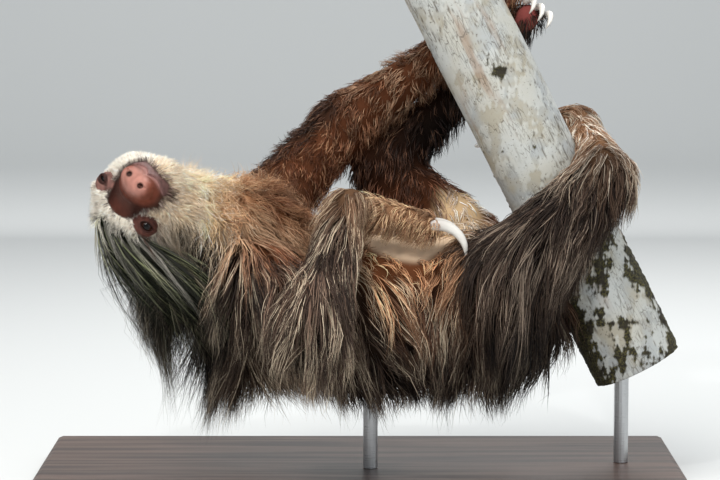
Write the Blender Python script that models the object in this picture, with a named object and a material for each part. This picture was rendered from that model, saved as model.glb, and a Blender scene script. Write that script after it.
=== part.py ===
"""Two-toed sloth lying on its back against a leaning tree stem that it grips, on a display stand.

Units are metres, +Z is up and the animal's right side faces -Y. The origin is the middle of
the underside of the stand's base. Every solid of the animal reaches out to the tips of its coat.
Each limb is a chain of hulls round balls, fused by a voxel remesh and then parted by thin cuts.
"""

import math

import bmesh
import bpy
from mathutils import Matrix, Vector

# ---------------------------------------------------------------- driving dimensions

GAP = 0.0005            # clearance that touching solids keep
CUT = 0.0005            # thickness of the cuts that part a chain
VOXEL = 0.0045          # cell of the remesh that fuses a chain
SMOOTHING = 6           # passes that soften the creases between hulls

BASE_SIZE = (0.62, 0.36, 0.020)
BASE_ROUNDING = 0.006
ROD_RADIUS = 0.007
ROD_SIDES = 16

# Stem: a cut length of trunk, leaning from upper left to lower right.
STEM_TOP = Vector((0.057, 0.030, 0.534))
STEM_BOTTOM = Vector((0.268, 0.030, 0.115))
STEM_RADIUS = 0.0420
STEM_SIDES = 26
STEM_RINGS = 8

# Spine, from the neck to the rump: places on the body's middle plane.
NECK = Vector((-0.140, -0.020, 0.245))
THROAT = Vector((-0.103, 0.000, 0.242))
CHEST = Vector((-0.078, 0.000, 0.184))
BELLY = Vector((0.011, 0.000, 0.167))
PELVIS = Vector((0.103, 0.000, 0.171))
RUMP = Vector((0.143, 0.000, 0.165))

# Ends of the coat where it hangs from the back of the head, the nape, the back and the rump.
HANG_CROWN = Vector((-0.196, -0.030, 0.160))
HANG_NAPE = Vector((-0.166, 0.000, 0.104))
HANG_SHOULDER = Vector((-0.120, 0.000, 0.080))
HANG_BACK = Vector((-0.029, 0.000, 0.074))
HANG_HIP = Vector((0.077, 0.000, 0.086))
HANG_RUMP = Vector((0.154, 0.000, 0.118))

# Head frame: origin midway between the eyes.
HEAD = Vector((-0.215, -0.088, 0.283))
HEAD_FORWARD = Vector((-0.165, -0.946, 0.277)).normalized()
HEAD_UP_HINT = Vector((-0.73, -0.07, -0.68))
HEAD_RIGHT = HEAD_FORWARD.cross(HEAD_UP_HINT).normalized()
HEAD_UP = HEAD_RIGHT.cross(HEAD_FORWARD)

EYE_SPACING = 0.0290    # from the middle plane to the centre of an eye
EYE_RADIUS = 0.0068
SOCKET_RADIUS = 0.0105

# Joints of the limbs: right is the near side, left the far side.
SHOULDER_RIGHT = Vector((-0.107, -0.048, 0.221))
ELBOW_RIGHT = Vector((-0.038, -0.142, 0.186))
WRIST_RIGHT = Vector((-0.010, -0.054, 0.277))
KNUCKLE_RIGHT = Vector((0.062, -0.047, 0.2575))

SHOULDER_LEFT = Vector((-0.093, 0.045, 0.264))
ELBOW_LEFT = Vector((-0.015, 0.082, 0.349))
WRIST_LEFT = Vector((0.092, 0.091, 0.421))
KNUCKLE_LEFT = Vector((0.148, 0.088, 0.478))

HIP_RIGHT = Vector((0.141, -0.045, 0.209))
KNEE_RIGHT = Vector((0.231, -0.014, 0.302))
ANKLE_RIGHT = Vector((0.212, 0.100, 0.342))
TOE_RIGHT = Vector((0.145, 0.0885, 0.337))

HIP_LEFT = Vector((0.124, 0.045, 0.210))
KNEE_LEFT = Vector((0.022, 0.094, 0.302))
ANKLE_LEFT = Vector((0.115, 0.122, 0.392))
TOE_LEFT = Vector((0.163, 0.081, 0.450))

# Claws: centreline radius of the hook, its turn, and half the height at its root.
HAND_CLAW = {"hook": 0.0261, "turn": math.radians(122), "root": 0.0052}
HAND_CLAW_LEFT = {"hook": 0.0160, "turn": math.radians(150), "root": 0.0045}
FOOT_CLAW = {"hook": 0.0130, "turn": math.radians(150), "root": 0.0038}
FOOT_CLAW_RIGHT = {"hook": 0.0195, "turn": math.radians(118), "root": 0.0040}
CLAW_RINGS = 8
CLAW_SIDES = 6

# name: (red, green, blue, roughness, metallic)
FINISHES = {
    "coat": (0.24, 0.13, 0.075, 0.85, 0.0),
    "pale_coat": (0.72, 0.62, 0.47, 0.85, 0.0),
    "bare_skin": (0.28, 0.12, 0.10, 0.50, 0.0),
    "eye": (0.02, 0.010, 0.008, 0.08, 0.0),
    "claw": (0.80, 0.77, 0.70, 0.35, 0.0),
    "bark": (0.58, 0.57, 0.52, 0.90, 0.0),
    "stand_wood": (0.11, 0.065, 0.040, 0.45, 0.0),
    "stand_steel": (0.50, 0.50, 0.50, 0.35, 1.0),
}


# ---------------------------------------------------------------- tools

def clear_scene():
    for old in list(bpy.data.objects):
        bpy.data.objects.remove(old)


def finish(name):
    """The Principled material of that name, made on first use."""
    if name in bpy.data.materials:
        return bpy.data.materials[name]
    red, green, blue, roughness, metallic = FINISHES[name]
    material = bpy.data.materials.new(name)
    material.use_nodes = True
    shader = material.node_tree.nodes["Principled BSDF"]
    shader.inputs["Base Color"].default_value = (red, green, blue, 1.0)
    shader.inputs["Roughness"].default_value = roughness
    shader.inputs["Metallic"].default_value = metallic
    return material


def object_from(name, mesh_builder, material=None):
    """A linked object whose mesh is the bmesh given, shaded smooth."""
    mesh = bpy.data.meshes.new(name)
    bmesh.ops.recalc_face_normals(mesh_builder, faces=mesh_builder.faces)
    if mesh_builder.calc_volume(signed=True) < 0:
        bmesh.ops.reverse_faces(mesh_builder, faces=mesh_builder.faces)
    mesh_builder.to_mesh(mesh)
    mesh_builder.free()
    made = bpy.data.objects.new(name, mesh)
    bpy.context.scene.collection.objects.link(made)
    mesh.shade_smooth()
    if material:
        mesh.materials.append(finish(material))
    return made


def sphere_points(centre, radius, rings=7, sides=12):
    """Points of a ball: its two poles and the rings between them."""
    points = [centre + Vector((0, 0, radius)), centre - Vector((0, 0, radius))]
    for ring in range(1, rings):
        polar = math.pi * ring / rings
        for side in range(sides):
            turn = math.tau * (side + 0.5 * (ring % 2)) / sides
            points.append(centre + radius * Vector((
                math.sin(polar) * math.cos(turn),
                math.sin(polar) * math.sin(turn),
                math.cos(polar),
            )))
    return points


def add_hull(builder, balls):
    """Adds the convex hull of (centre, radius) balls to a bmesh."""
    shape = bmesh.new()
    for centre, radius in balls:
        for point in sphere_points(centre, radius):
            shape.verts.new(point)
    bmesh.ops.convex_hull(shape, input=shape.verts)
    inside = [vert for vert in shape.verts if not vert.link_faces]
    bmesh.ops.delete(shape, geom=inside, context="VERTS")
    scratch = bpy.data.meshes.new("hull")
    shape.to_mesh(scratch)
    shape.free()
    builder.from_mesh(scratch)
    bpy.data.meshes.remove(scratch)


def apply_modifiers(target):
    """Replaces an object's mesh by the one that its modifiers give."""
    bpy.context.view_layer.update()
    graph = bpy.context.evaluated_depsgraph_get()
    mesh = bpy.data.meshes.new_from_object(target.evaluated_get(graph), depsgraph=graph)
    target.modifiers.clear()
    target.data = mesh


def keep_largest_island(target):
    """Drops the crumbs that a cut leaves beside the main body."""
    builder = bmesh.new()
    builder.from_mesh(target.data)
    islands = islands_of(builder)
    for island in sorted(islands, key=len)[:-1]:
        bmesh.ops.delete(builder, geom=island, context="VERTS")
    builder.to_mesh(target.data)
    builder.free()


def islands_of(builder):
    """The connected groups of a bmesh's vertices."""
    left = set(builder.verts)
    islands = []
    while left:
        todo = [left.pop()]
        island = list(todo)
        while todo:
            vert = todo.pop()
            for edge in vert.link_edges:
                other = edge.other_vert(vert)
                if other in left:
                    left.remove(other)
                    todo.append(other)
                    island.append(other)
        islands.append(island)
    return islands


def fused(name, hulls, triangles, material, smoothing=SMOOTHING, voxel=VOXEL):
    """One closed organic body from overlapping hulls, with about that many triangles."""
    builder = bmesh.new()
    for balls in hulls:
        add_hull(builder, balls)
    body = object_from(name, builder, material)
    remesh = body.modifiers.new("fuse", "REMESH")
    remesh.mode = "VOXEL"
    remesh.voxel_size = voxel
    soften = body.modifiers.new("soften", "SMOOTH")
    soften.factor = 0.5
    soften.iterations = smoothing
    apply_modifiers(body)
    faces = sum(len(face.vertices) - 2 for face in body.data.polygons)
    thin = body.modifiers.new("thin", "DECIMATE")
    thin.ratio = min(1.0, triangles / faces)
    thin.use_collapse_triangulate = True
    apply_modifiers(body)
    body.data.shade_smooth()
    return body


def cut_away(target, cutter, remove_cutter=True):
    """Boolean difference, applied."""
    boolean = target.modifiers.new("cut", "BOOLEAN")
    boolean.operation = "DIFFERENCE"
    boolean.solver = "EXACT"
    boolean.object = cutter
    apply_modifiers(target)
    if remove_cutter:
        bpy.data.objects.remove(cutter)


def grown(source, margin=GAP):
    """A copy of an object, swollen along its normals by a margin."""
    copy = bpy.data.objects.new(source.name + "_grown", source.data.copy())
    bpy.context.scene.collection.objects.link(copy)
    swell = copy.modifiers.new("swell", "DISPLACE")
    swell.mid_level = 0.0
    swell.strength = margin
    apply_modifiers(copy)
    return copy


def reach(solid):
    """The lowest and the highest corner of a solid."""
    places = [vert.co for vert in solid.data.vertices]
    low = [min(place[axis] for place in places) for axis in range(3)]
    high = [max(place[axis] for place in places) for axis in range(3)]
    return low, high


def are_near(first, second):
    """Whether the boxes of two solids meet."""
    (low_1, high_1), (low_2, high_2) = reach(first), reach(second)
    return all(low_1[i] - GAP < high_2[i] and low_2[i] - GAP < high_1[i] for i in range(3))


def clear_of(target, *neighbours):
    """Trims a body where its neighbours stand, leaving the clearance."""
    for neighbour in neighbours:
        if are_near(target, neighbour):
            cut_away(target, grown(neighbour))
            keep_largest_island(target)


def frame_along(direction, hint=Vector((0, 0, 1))):
    """A rotation matrix whose Z axis is that direction."""
    along = direction.normalized()
    if abs(along.dot(hint)) > 0.95:
        hint = Vector((0, 1, 0))
    side = hint.cross(along).normalized()
    return Matrix((side, along.cross(side), along)).transposed()


def disc(centre, normal, radius):
    """A thin round cutter across a joint."""
    builder = bmesh.new()
    place = Matrix.Translation(centre) @ frame_along(normal).to_4x4()
    bmesh.ops.create_cone(builder, cap_ends=True, segments=28, radius1=radius, radius2=radius,
                          depth=CUT, matrix=place)
    return object_from("disc", builder)


def part_chain(chain, cuts, names):
    """Cuts a chain with discs, then gives each island the name whose seed point is nearest."""
    for centre, normal, radius in cuts:
        cut_away(chain, disc(centre, normal, radius))
    builder = bmesh.new()
    builder.from_mesh(chain.data)
    islands = sorted(islands_of(builder), key=len, reverse=True)[:len(names)]
    if len(islands) < len(names):
        raise ValueError(f"{chain.name} was not parted into {len(names)} pieces")
    middles = []
    for island in islands:
        middles.append(sum((vert.co for vert in island), Vector()) / len(island))
    nodes = {}
    for name, seed, material in names:
        nearest = min(range(len(middles)), key=lambda i: (middles[i] - seed).length)
        wanted = {vert.index for vert in islands[nearest]}
        piece = builder.copy()
        spare = [vert for vert in piece.verts if vert.index not in wanted]
        bmesh.ops.delete(piece, geom=spare, context="VERTS")
        nodes[name] = object_from(name, piece, material)
    builder.free()
    bpy.data.objects.remove(chain)
    return nodes


def between(start, end, share):
    return start.lerp(end, share)


# ---------------------------------------------------------------- head frame

def head_point(right, forward, up):
    """A place in the head's own frame, from the middle of the eyes."""
    return HEAD + HEAD_RIGHT * right + HEAD_FORWARD * forward + HEAD_UP * up


FACE = head_point(0.0, -0.031, -0.008)
SKULL_BACK = head_point(0.0, -0.056, -0.004)
JAW = head_point(0.004, -0.034, -0.026)


# ---------------------------------------------------------------- mount

def make_stem():
    """The cut length of trunk: a turned shape with a slow bend and shallow swellings."""
    axis = STEM_BOTTOM - STEM_TOP
    turn = frame_along(axis)
    builder = bmesh.new()
    rings = []
    for ring in range(STEM_RINGS + 1):
        share = ring / STEM_RINGS
        centre = STEM_TOP + axis * share
        centre += turn @ Vector((0.0022 * math.sin(math.pi * share), 0, 0))
        loop = []
        for side in range(STEM_SIDES):
            angle = math.tau * side / STEM_SIDES
            radius = STEM_RADIUS * (
                1.0
                + 0.015 * math.sin(3 * angle + 4.0 * share)
                + 0.012 * math.sin(2 * angle - 9.0 * share)
                + 0.020 * (share - 0.5)
            )
            offset = Vector((radius * math.cos(angle), radius * math.sin(angle), 0))
            loop.append(builder.verts.new(centre + turn @ offset))
        rings.append(loop)
    for upper, lower in zip(rings, rings[1:]):
        for side in range(STEM_SIDES):
            after = (side + 1) % STEM_SIDES
            builder.faces.new((upper[side], upper[after], lower[after], lower[side]))
    builder.faces.new(rings[0])
    builder.faces.new(rings[-1])
    return object_from("perch_stem", builder, "bark")


def make_base():
    builder = bmesh.new()
    bmesh.ops.create_cube(builder, size=1.0)
    bmesh.ops.scale(builder, vec=BASE_SIZE, verts=builder.verts)
    bmesh.ops.translate(builder, vec=(0, 0, BASE_SIZE[2] / 2), verts=builder.verts)
    base = object_from("stand_base", builder, "stand_wood")
    bevel = base.modifiers.new("rounded", "BEVEL")
    bevel.width = BASE_ROUNDING
    bevel.segments = 2
    return base


def make_rod(name, x, y, top):
    """An upright rod, seated in the base's top face."""
    bottom = BASE_SIZE[2] + GAP
    builder = bmesh.new()
    middle = Matrix.Translation((x, y, (bottom + top) / 2))
    bmesh.ops.create_cone(builder, cap_ends=True, segments=ROD_SIDES, radius1=ROD_RADIUS,
                          radius2=ROD_RADIUS, depth=top - bottom, matrix=middle)
    return object_from(name, builder, "stand_steel")


# ---------------------------------------------------------------- claws and eyes

def make_claw(name, root, out, inward, hook, turn, root_half):
    """A horn hook: it leaves along out and bends towards inward on a circle of radius hook."""
    out = out.normalized()
    inward = (inward - out * inward.dot(out)).normalized()
    side = out.cross(inward)
    builder = bmesh.new()
    loops = []
    for ring in range(CLAW_RINGS):
        share = ring / CLAW_RINGS
        angle = turn * share
        place = root + hook * (math.sin(angle) * out + (1 - math.cos(angle)) * inward)
        radial = math.sin(angle) * out - math.cos(angle) * inward
        half = root_half * (1.0 - share ** 2.6) ** 0.9 + 0.0004
        loops.append([
            builder.verts.new(place
                              + radial * half * math.cos(math.tau * step / CLAW_SIDES)
                              + side * 0.72 * half * math.sin(math.tau * step / CLAW_SIDES))
            for step in range(CLAW_SIDES)
        ])
    tip = builder.verts.new(root + hook * (math.sin(turn) * out + (1 - math.cos(turn)) * inward))
    for lower, upper in zip(loops, loops[1:]):
        for step in range(CLAW_SIDES):
            after = (step + 1) % CLAW_SIDES
            builder.faces.new((lower[step], lower[after], upper[after], upper[step]))
    for step in range(CLAW_SIDES):
        builder.faces.new((loops[-1][step], loops[-1][(step + 1) % CLAW_SIDES], tip))
    builder.faces.new(loops[0])
    return object_from(name, builder, "claw")


def make_claws(name, count, knuckle, out, inward, spread, shape):
    """A row of like claws, side by side along spread."""
    return [
        make_claw(f"{name}_{index + 1}", knuckle + spread * (index - (count - 1) / 2),
                  out, inward, shape["hook"], shape["turn"], shape["root"])
        for index in range(count)
    ]


def make_ball(name, centre, radius, material=None):
    builder = bmesh.new()
    bmesh.ops.create_uvsphere(builder, u_segments=12, v_segments=8, radius=radius,
                              matrix=Matrix.Translation(centre))
    return object_from(name, builder, material)


# ---------------------------------------------------------------- body

def make_body():
    """Head, neck and trunk as one fused body, with the hanging coat of head, nape and back."""
    hulls = [
        [(FACE, 0.0485), (SKULL_BACK, 0.0480), (JAW, 0.0405)],
        [(SKULL_BACK, 0.0460), (NECK, 0.0500), (THROAT, 0.0440)],
        [(SKULL_BACK, 0.0440), (NECK, 0.0440), (HANG_CROWN, 0.0200), (HANG_NAPE, 0.0180)],
        [(NECK, 0.0500), (THROAT, 0.0440), (CHEST, 0.0720), (HANG_NAPE, 0.0180), (HANG_SHOULDER, 0.0240)],
        [(CHEST, 0.0720), (BELLY, 0.0745), (HANG_SHOULDER, 0.0240), (HANG_BACK, 0.0240)],
        [(BELLY, 0.0745), (PELVIS, 0.0700), (HANG_BACK, 0.0240), (HANG_HIP, 0.0220)],
        [(PELVIS, 0.0700), (RUMP, 0.0540), (HANG_HIP, 0.0220), (HANG_RUMP, 0.0180)],
    ]
    return fused("body", hulls, 1480, None)


def make_muzzle():
    """The bare snout: lips, chin and the broad nose pad."""
    hulls = [
        [(head_point(0.0, -0.004, -0.020), 0.0250), (head_point(0.0, 0.018, -0.0220), 0.0200)],
        [(head_point(0.0015, 0.018, -0.0210), 0.0185), (head_point(-0.0030, 0.0325, -0.0218), 0.0118),
         (head_point(0.0085, 0.0325, -0.0218), 0.0118)],
        [(head_point(0.0, -0.004, -0.034), 0.0170), (head_point(0.0, 0.016, -0.0340), 0.0110)],
    ]
    return fused("muzzle", hulls, 380, "bare_skin", smoothing=3, voxel=0.0025)


def make_arm(side, shoulder, elbow, wrist, knuckle, radii, extra):
    """Upper arm, forearm and hand as one chain. extra are further hulls of hanging coat."""
    at_shoulder, at_elbow, at_wrist, at_knuckle = radii
    hulls = [
        [(shoulder, at_shoulder), (elbow, at_elbow)],
        [(elbow, at_elbow), (wrist, at_wrist)],
        [(wrist, at_wrist), (knuckle, at_knuckle)],
    ]
    return fused(f"arm_chain_{side}", hulls + extra, 560, None, smoothing=3, voxel=0.0035)


def make_leg(side, hip, knee, ankle, toe, radii, extra):
    """Thigh, shank and foot as one chain. extra are further hulls of hanging coat."""
    at_hip, at_knee, at_ankle, at_toe = radii
    hulls = [
        [(hip, at_hip), (knee, at_knee)],
        [(knee, at_knee), (ankle, at_ankle)],
        [(ankle, at_ankle), (toe, at_toe)],
    ]
    return fused(f"leg_chain_{side}", hulls + extra, 680, None, smoothing=3, voxel=0.0035)


def bend_normal(before, joint, after):
    """The normal of the plane that halves a bent limb at a joint."""
    return ((joint - before).normalized() + (after - joint).normalized()).normalized()


def part_limb(chain, names, points, cut_radii, inset=0.0):
    """Parts a limb at its middle joint and its end joint into three nodes.

    inset moves the first disc's centre into the bend, where a sharp bend has a deep web.
    """
    root, middle, end, tip = points
    into_bend = ((root - middle).normalized() + (end - middle).normalized()).normalized()
    cuts = [
        (middle + inset * into_bend, bend_normal(root, middle, end), cut_radii[0]),
        (end, bend_normal(middle, end, tip), cut_radii[1]),
    ]
    seeds = [between(root, middle, 0.5), between(middle, end, 0.5), between(end, tip, 0.5)]
    return part_chain(chain, cuts, [(name, seed, "coat") for name, seed in zip(names, seeds)])


def main():
    clear_scene()
    stem = make_stem()
    make_base()

    body = make_body()
    clear_of(body, stem)
    muzzle = make_muzzle()
    clear_of(muzzle, body)

    arm_left = make_arm(
        "left", SHOULDER_LEFT, ELBOW_LEFT, WRIST_LEFT, KNUCKLE_LEFT,
        (0.0410, 0.0360, 0.0235, 0.0150), [])
    clear_of(arm_left, body, stem)

    calf_hang = Vector((0.068, 0.098, 0.300))
    leg_left = make_leg(
        "left", HIP_LEFT, KNEE_LEFT, ANKLE_LEFT, TOE_LEFT,
        (0.0480, 0.0340, 0.0250, 0.0135),
        [[(between(KNEE_LEFT, ANKLE_LEFT, 0.1), 0.030), (between(KNEE_LEFT, ANKLE_LEFT, 0.75), 0.022),
          (calf_hang, 0.024), (between(HIP_LEFT, KNEE_LEFT, 0.45), 0.034)]])
    clear_of(leg_left, body, stem, arm_left)

    thigh_fall = Vector((0.172, -0.050, 0.185))
    knee_fall = Vector((0.243, -0.022, 0.268))
    leg_right = make_leg(
        "right", HIP_RIGHT, KNEE_RIGHT, ANKLE_RIGHT, TOE_RIGHT,
        (0.0450, 0.0300, 0.0190, 0.0130),
        [[(HIP_RIGHT, 0.044), (between(HIP_RIGHT, KNEE_RIGHT, 0.8), 0.030), (thigh_fall, 0.030)],
         [(between(HIP_RIGHT, KNEE_RIGHT, 0.6), 0.030), (KNEE_RIGHT, 0.029), (knee_fall, 0.016)]])
    clear_of(leg_right, body, stem, leg_left)

    arm_fall = Vector((-0.080, -0.092, 0.150))
    arm_right = make_arm(
        "right", SHOULDER_RIGHT, ELBOW_RIGHT, WRIST_RIGHT, KNUCKLE_RIGHT,
        (0.0400, 0.0270, 0.0200, 0.0128),
        [[(between(SHOULDER_RIGHT, ELBOW_RIGHT, 0.1), 0.036), (between(SHOULDER_RIGHT, ELBOW_RIGHT, 0.8), 0.024),
          (arm_fall, 0.020)]])
    clear_of(arm_right, body, leg_right)

    claws = []
    claws += make_claws("claw_hand_right", 2, KNUCKLE_RIGHT,
                        Vector((0.927, 0.0, 0.375)), Vector((0.375, 0.0, -0.927)),
                        Vector((-0.0015, 0.0125, 0.0008)), HAND_CLAW)
    claws += make_claws("claw_hand_left", 2, KNUCKLE_LEFT + Vector((0.0065, -0.0020, 0.0085)),
                        Vector((0.66, -0.47, 0.58)), Vector((-0.06, -0.81, -0.59)),
                        Vector((0.0090, 0.0, -0.0080)), HAND_CLAW_LEFT)
    claws += make_claws("claw_foot_left", 3, TOE_LEFT + Vector((0.0053, -0.0020, 0.0068)),
                        Vector((0.66, -0.47, 0.58)), Vector((-0.06, -0.81, -0.59)),
                        Vector((0.0080, 0.0, -0.0073)), FOOT_CLAW)
    claws += make_claws("claw_foot_right", 3, TOE_RIGHT + Vector((-0.0105, 0.0, 0.0)),
                        Vector((-1.0, 0.0, -0.10)), Vector((0.0, -1.0, 0.0)),
                        Vector((0.0008, 0.0, 0.0105)), FOOT_CLAW_RIGHT)
    for claw in claws:
        clear_of(claw, stem)
    for flesh in (body, arm_left, leg_left, leg_right, arm_right):
        clear_of(flesh, *claws)

    eyes = []
    for side, sign in (("right", 1), ("left", -1)):
        eyes.append(make_ball(f"eye_{side}", head_point(sign * EYE_SPACING, -0.001, 0.0), EYE_RADIUS, "eye"))
        opening = make_ball("opening", head_point(sign * (EYE_SPACING + 0.001), 0.0085, 0.0), SOCKET_RADIUS)
        cut_away(body, opening)
        cut_away(body, grown(eyes[-1]))
        keep_largest_island(body)

    stem_rod_x = between(STEM_TOP, STEM_BOTTOM, 0.93).x
    rods = [
        make_rod("stand_rod_stem", stem_rod_x, STEM_BOTTOM.y, 0.150),
        make_rod("stand_rod_back", 0.010, 0.0, 0.108),
    ]
    cut_away(rods[0], grown(stem))
    keep_largest_island(rods[0])
    cut_away(body, grown(rods[1]))
    keep_largest_island(body)

    neck_to_head = (SKULL_BACK - NECK).normalized()
    part_chain(body, [
        (Vector((-0.168, -0.036, 0.238)), Vector((-0.66, -0.60, 0.42)), 0.135),
        (between(NECK, CHEST, 0.42) + Vector((0.0, 0.0, -0.02)), Vector((-0.93, 0.0, 0.36)), 0.150),
    ], [
        ("head", FACE + 0.01 * neck_to_head, "pale_coat"),
        ("neck", NECK + Vector((-0.02, 0, -0.04)), "coat"),
        ("trunk", BELLY, "coat"),
    ])
    part_limb(arm_left, ("arm_left", "forearm_left", "hand_left"),
              (SHOULDER_LEFT, ELBOW_LEFT, WRIST_LEFT, KNUCKLE_LEFT), (0.050, 0.034))
    part_limb(arm_right, ("arm_right", "forearm_right", "hand_right"),
              (SHOULDER_RIGHT, ELBOW_RIGHT, WRIST_RIGHT, KNUCKLE_RIGHT), (0.085, 0.032), inset=0.045)
    part_limb(leg_left, ("thigh_left", "shank_left", "foot_left"),
              (HIP_LEFT, KNEE_LEFT, ANKLE_LEFT, TOE_LEFT), (0.130, 0.034))
    part_limb(leg_right, ("thigh_right", "shank_right", "foot_right"),
              (HIP_RIGHT, KNEE_RIGHT, ANKLE_RIGHT, TOE_RIGHT), (0.050, 0.034))


main()
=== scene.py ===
"""Looks of the two-toed sloth: one skin, a coat of tufts, eyes, claws, the stem's bark and the stand.

Everything is in the frame's metres: +Z is up, -Y is the animal's right side and +X its rump end.
The skin is the zero surface of a distance field, which also keeps the hanging hair outside it.
"""

import math
from types import SimpleNamespace

import bmesh
import bpy
import numpy as np
from mathutils import Matrix, Vector
from mathutils.kdtree import KDTree


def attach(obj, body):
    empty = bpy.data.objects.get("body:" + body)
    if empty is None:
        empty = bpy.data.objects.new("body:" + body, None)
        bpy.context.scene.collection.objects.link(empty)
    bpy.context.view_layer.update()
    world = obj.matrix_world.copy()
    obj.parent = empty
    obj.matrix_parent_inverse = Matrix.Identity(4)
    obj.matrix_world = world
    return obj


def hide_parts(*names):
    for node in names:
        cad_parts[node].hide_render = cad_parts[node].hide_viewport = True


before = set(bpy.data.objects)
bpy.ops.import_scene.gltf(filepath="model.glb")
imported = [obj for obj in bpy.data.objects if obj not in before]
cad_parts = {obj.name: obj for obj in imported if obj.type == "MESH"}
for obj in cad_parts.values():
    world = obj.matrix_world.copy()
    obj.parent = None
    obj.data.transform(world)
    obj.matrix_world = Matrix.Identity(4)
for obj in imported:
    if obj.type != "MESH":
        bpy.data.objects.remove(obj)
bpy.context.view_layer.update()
random = np.random.default_rng(7)
DETAIL = 1.0       # share of the tufts that is made
SIDES = (1.0, -1.0)                        # the animal's right and left


def point(*values):
    return np.array(values, float)


def rgb(red, green, blue):
    """A screen colour of 0 to 255 as linear light."""
    share = point(red, green, blue) / 255.0
    return np.where(share <= 0.04045, share / 12.92, ((share + 0.055) / 1.055) ** 2.4)


def unit(vectors):
    """Vectors scaled to length 1, along the last axis."""
    vectors = np.asarray(vectors, float)
    return vectors / np.maximum(np.linalg.norm(vectors, axis=-1, keepdims=True), 1e-12)


def dot(first, second):
    return np.sum(first * second, axis=-1)


def size_of(vectors):
    """Lengths of vectors, along the last axis."""
    return np.sqrt(dot(vectors, vectors))


def smooth(low, high, values):
    """Smoothstep of values from low to high."""
    share = np.clip((values - low) / (high - low), 0.0, 1.0)
    return share * share * (3.0 - 2.0 * share)


def bell(values, width):
    """1 at a value of 0, falling off on both sides over a width."""
    return np.exp(-(values / width) ** 2)


def mix(first, second, share):
    """first where share is 0, second where it is 1; share may lack the last axis."""
    share = np.asarray(share)
    return first + (second - first) * (share[..., None] if np.ndim(first) > np.ndim(share) else share)


# ---------------------------------------------------------------- places of the body

JAW_END = point(-0.172, -0.046, 0.267)
NECK = point(-0.140, -0.020, 0.247)
THROAT = point(-0.103, 0.000, 0.242)
CHEST = point(-0.078, 0.000, 0.186)
BELLY = point(0.011, 0.000, 0.172)
PELVIS = point(0.103, 0.000, 0.175)
RUMP = point(0.143, 0.000, 0.168)

HEAD = point(-0.215, -0.088, 0.283)
HEAD_REACH = 0.150                         # the head's field matters within this distance
HEAD_BLEND = 0.022                         # with the neck
FORWARD = unit(point(-0.165, -0.946, 0.277))
RIGHT = unit(np.cross(FORWARD, point(-0.73, -0.07, -0.68)))
UP = np.cross(RIGHT, FORWARD)

SHOULDER_R = point(-0.107, -0.046, 0.221)
ELBOW_R = point(-0.038, -0.140, 0.188)
WRIST_R = point(-0.010, -0.054, 0.277)
KNUCKLE_R = point(0.062, -0.047, 0.2575)
SHOULDER_L = point(-0.093, 0.045, 0.262)
ELBOW_L = point(-0.015, 0.082, 0.346)
WRIST_L = point(0.092, 0.091, 0.421)
KNUCKLE_L = point(0.148, 0.088, 0.478)
HIP_R = point(0.141, -0.045, 0.209)
KNEE_R = point(0.231, -0.014, 0.300)
ANKLE_R = point(0.212, 0.100, 0.342)
TOE_R = point(0.145, 0.0885, 0.337)
HIP_L = point(0.124, 0.045, 0.210)
KNEE_L = point(0.022, 0.094, 0.302)
ANKLE_L = point(0.115, 0.122, 0.392)
TOE_L = point(0.163, 0.081, 0.450)

STEM_TOP = point(0.057, 0.030, 0.534)
STEM_BOTTOM = point(0.268, 0.030, 0.115)
STEM_RADIUS = 0.0420

EYE_SPACING = 0.0290                       # from the head's middle to each eye
EYE_DEPTH = -0.0010                        # its centre's place forward in the head's frame
EYE_RADIUS = 0.0068
EYE_LOOK = 22.0                            # degrees that each eye looks outwards


def head_place(right, forward, up):
    """A place of the head's own frame in the world."""
    return HEAD + right * RIGHT + forward * FORWARD + up * UP


def in_head(places):
    """World places in the head's own frame: right, forward, up."""
    away = places - HEAD
    return np.stack([away @ RIGHT, away @ FORWARD, away @ UP], axis=-1)


# ---------------------------------------------------------------- distance fields

def capsule(places, start, end, start_radius, end_radius):
    """Distance to a rod whose radius runs evenly from one end to the other."""
    along = end - start
    share = np.clip((places - start) @ along / (along @ along), 0.0, 1.0)
    away = places - start - share[..., None] * along
    return size_of(away) - (start_radius + (end_radius - start_radius) * share)


def ellipsoid(places, centre, radii):
    """Roughly the distance to an ellipsoid."""
    scaled = (places - centre) / radii
    return size_of(scaled) * (size_of(scaled) - 1.0) / (size_of(scaled / radii) + 1e-9)


def join(first, second, blend):
    """Smooth union of two fields."""
    share = np.clip(0.5 + 0.5 * (second - first) / blend, 0.0, 1.0)
    return second + (first - second) * share - blend * share * (1.0 - share)


def carve(field, tool, blend):
    """Smooth subtraction of tool from field."""
    return -join(-field, tool, blend)


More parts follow.
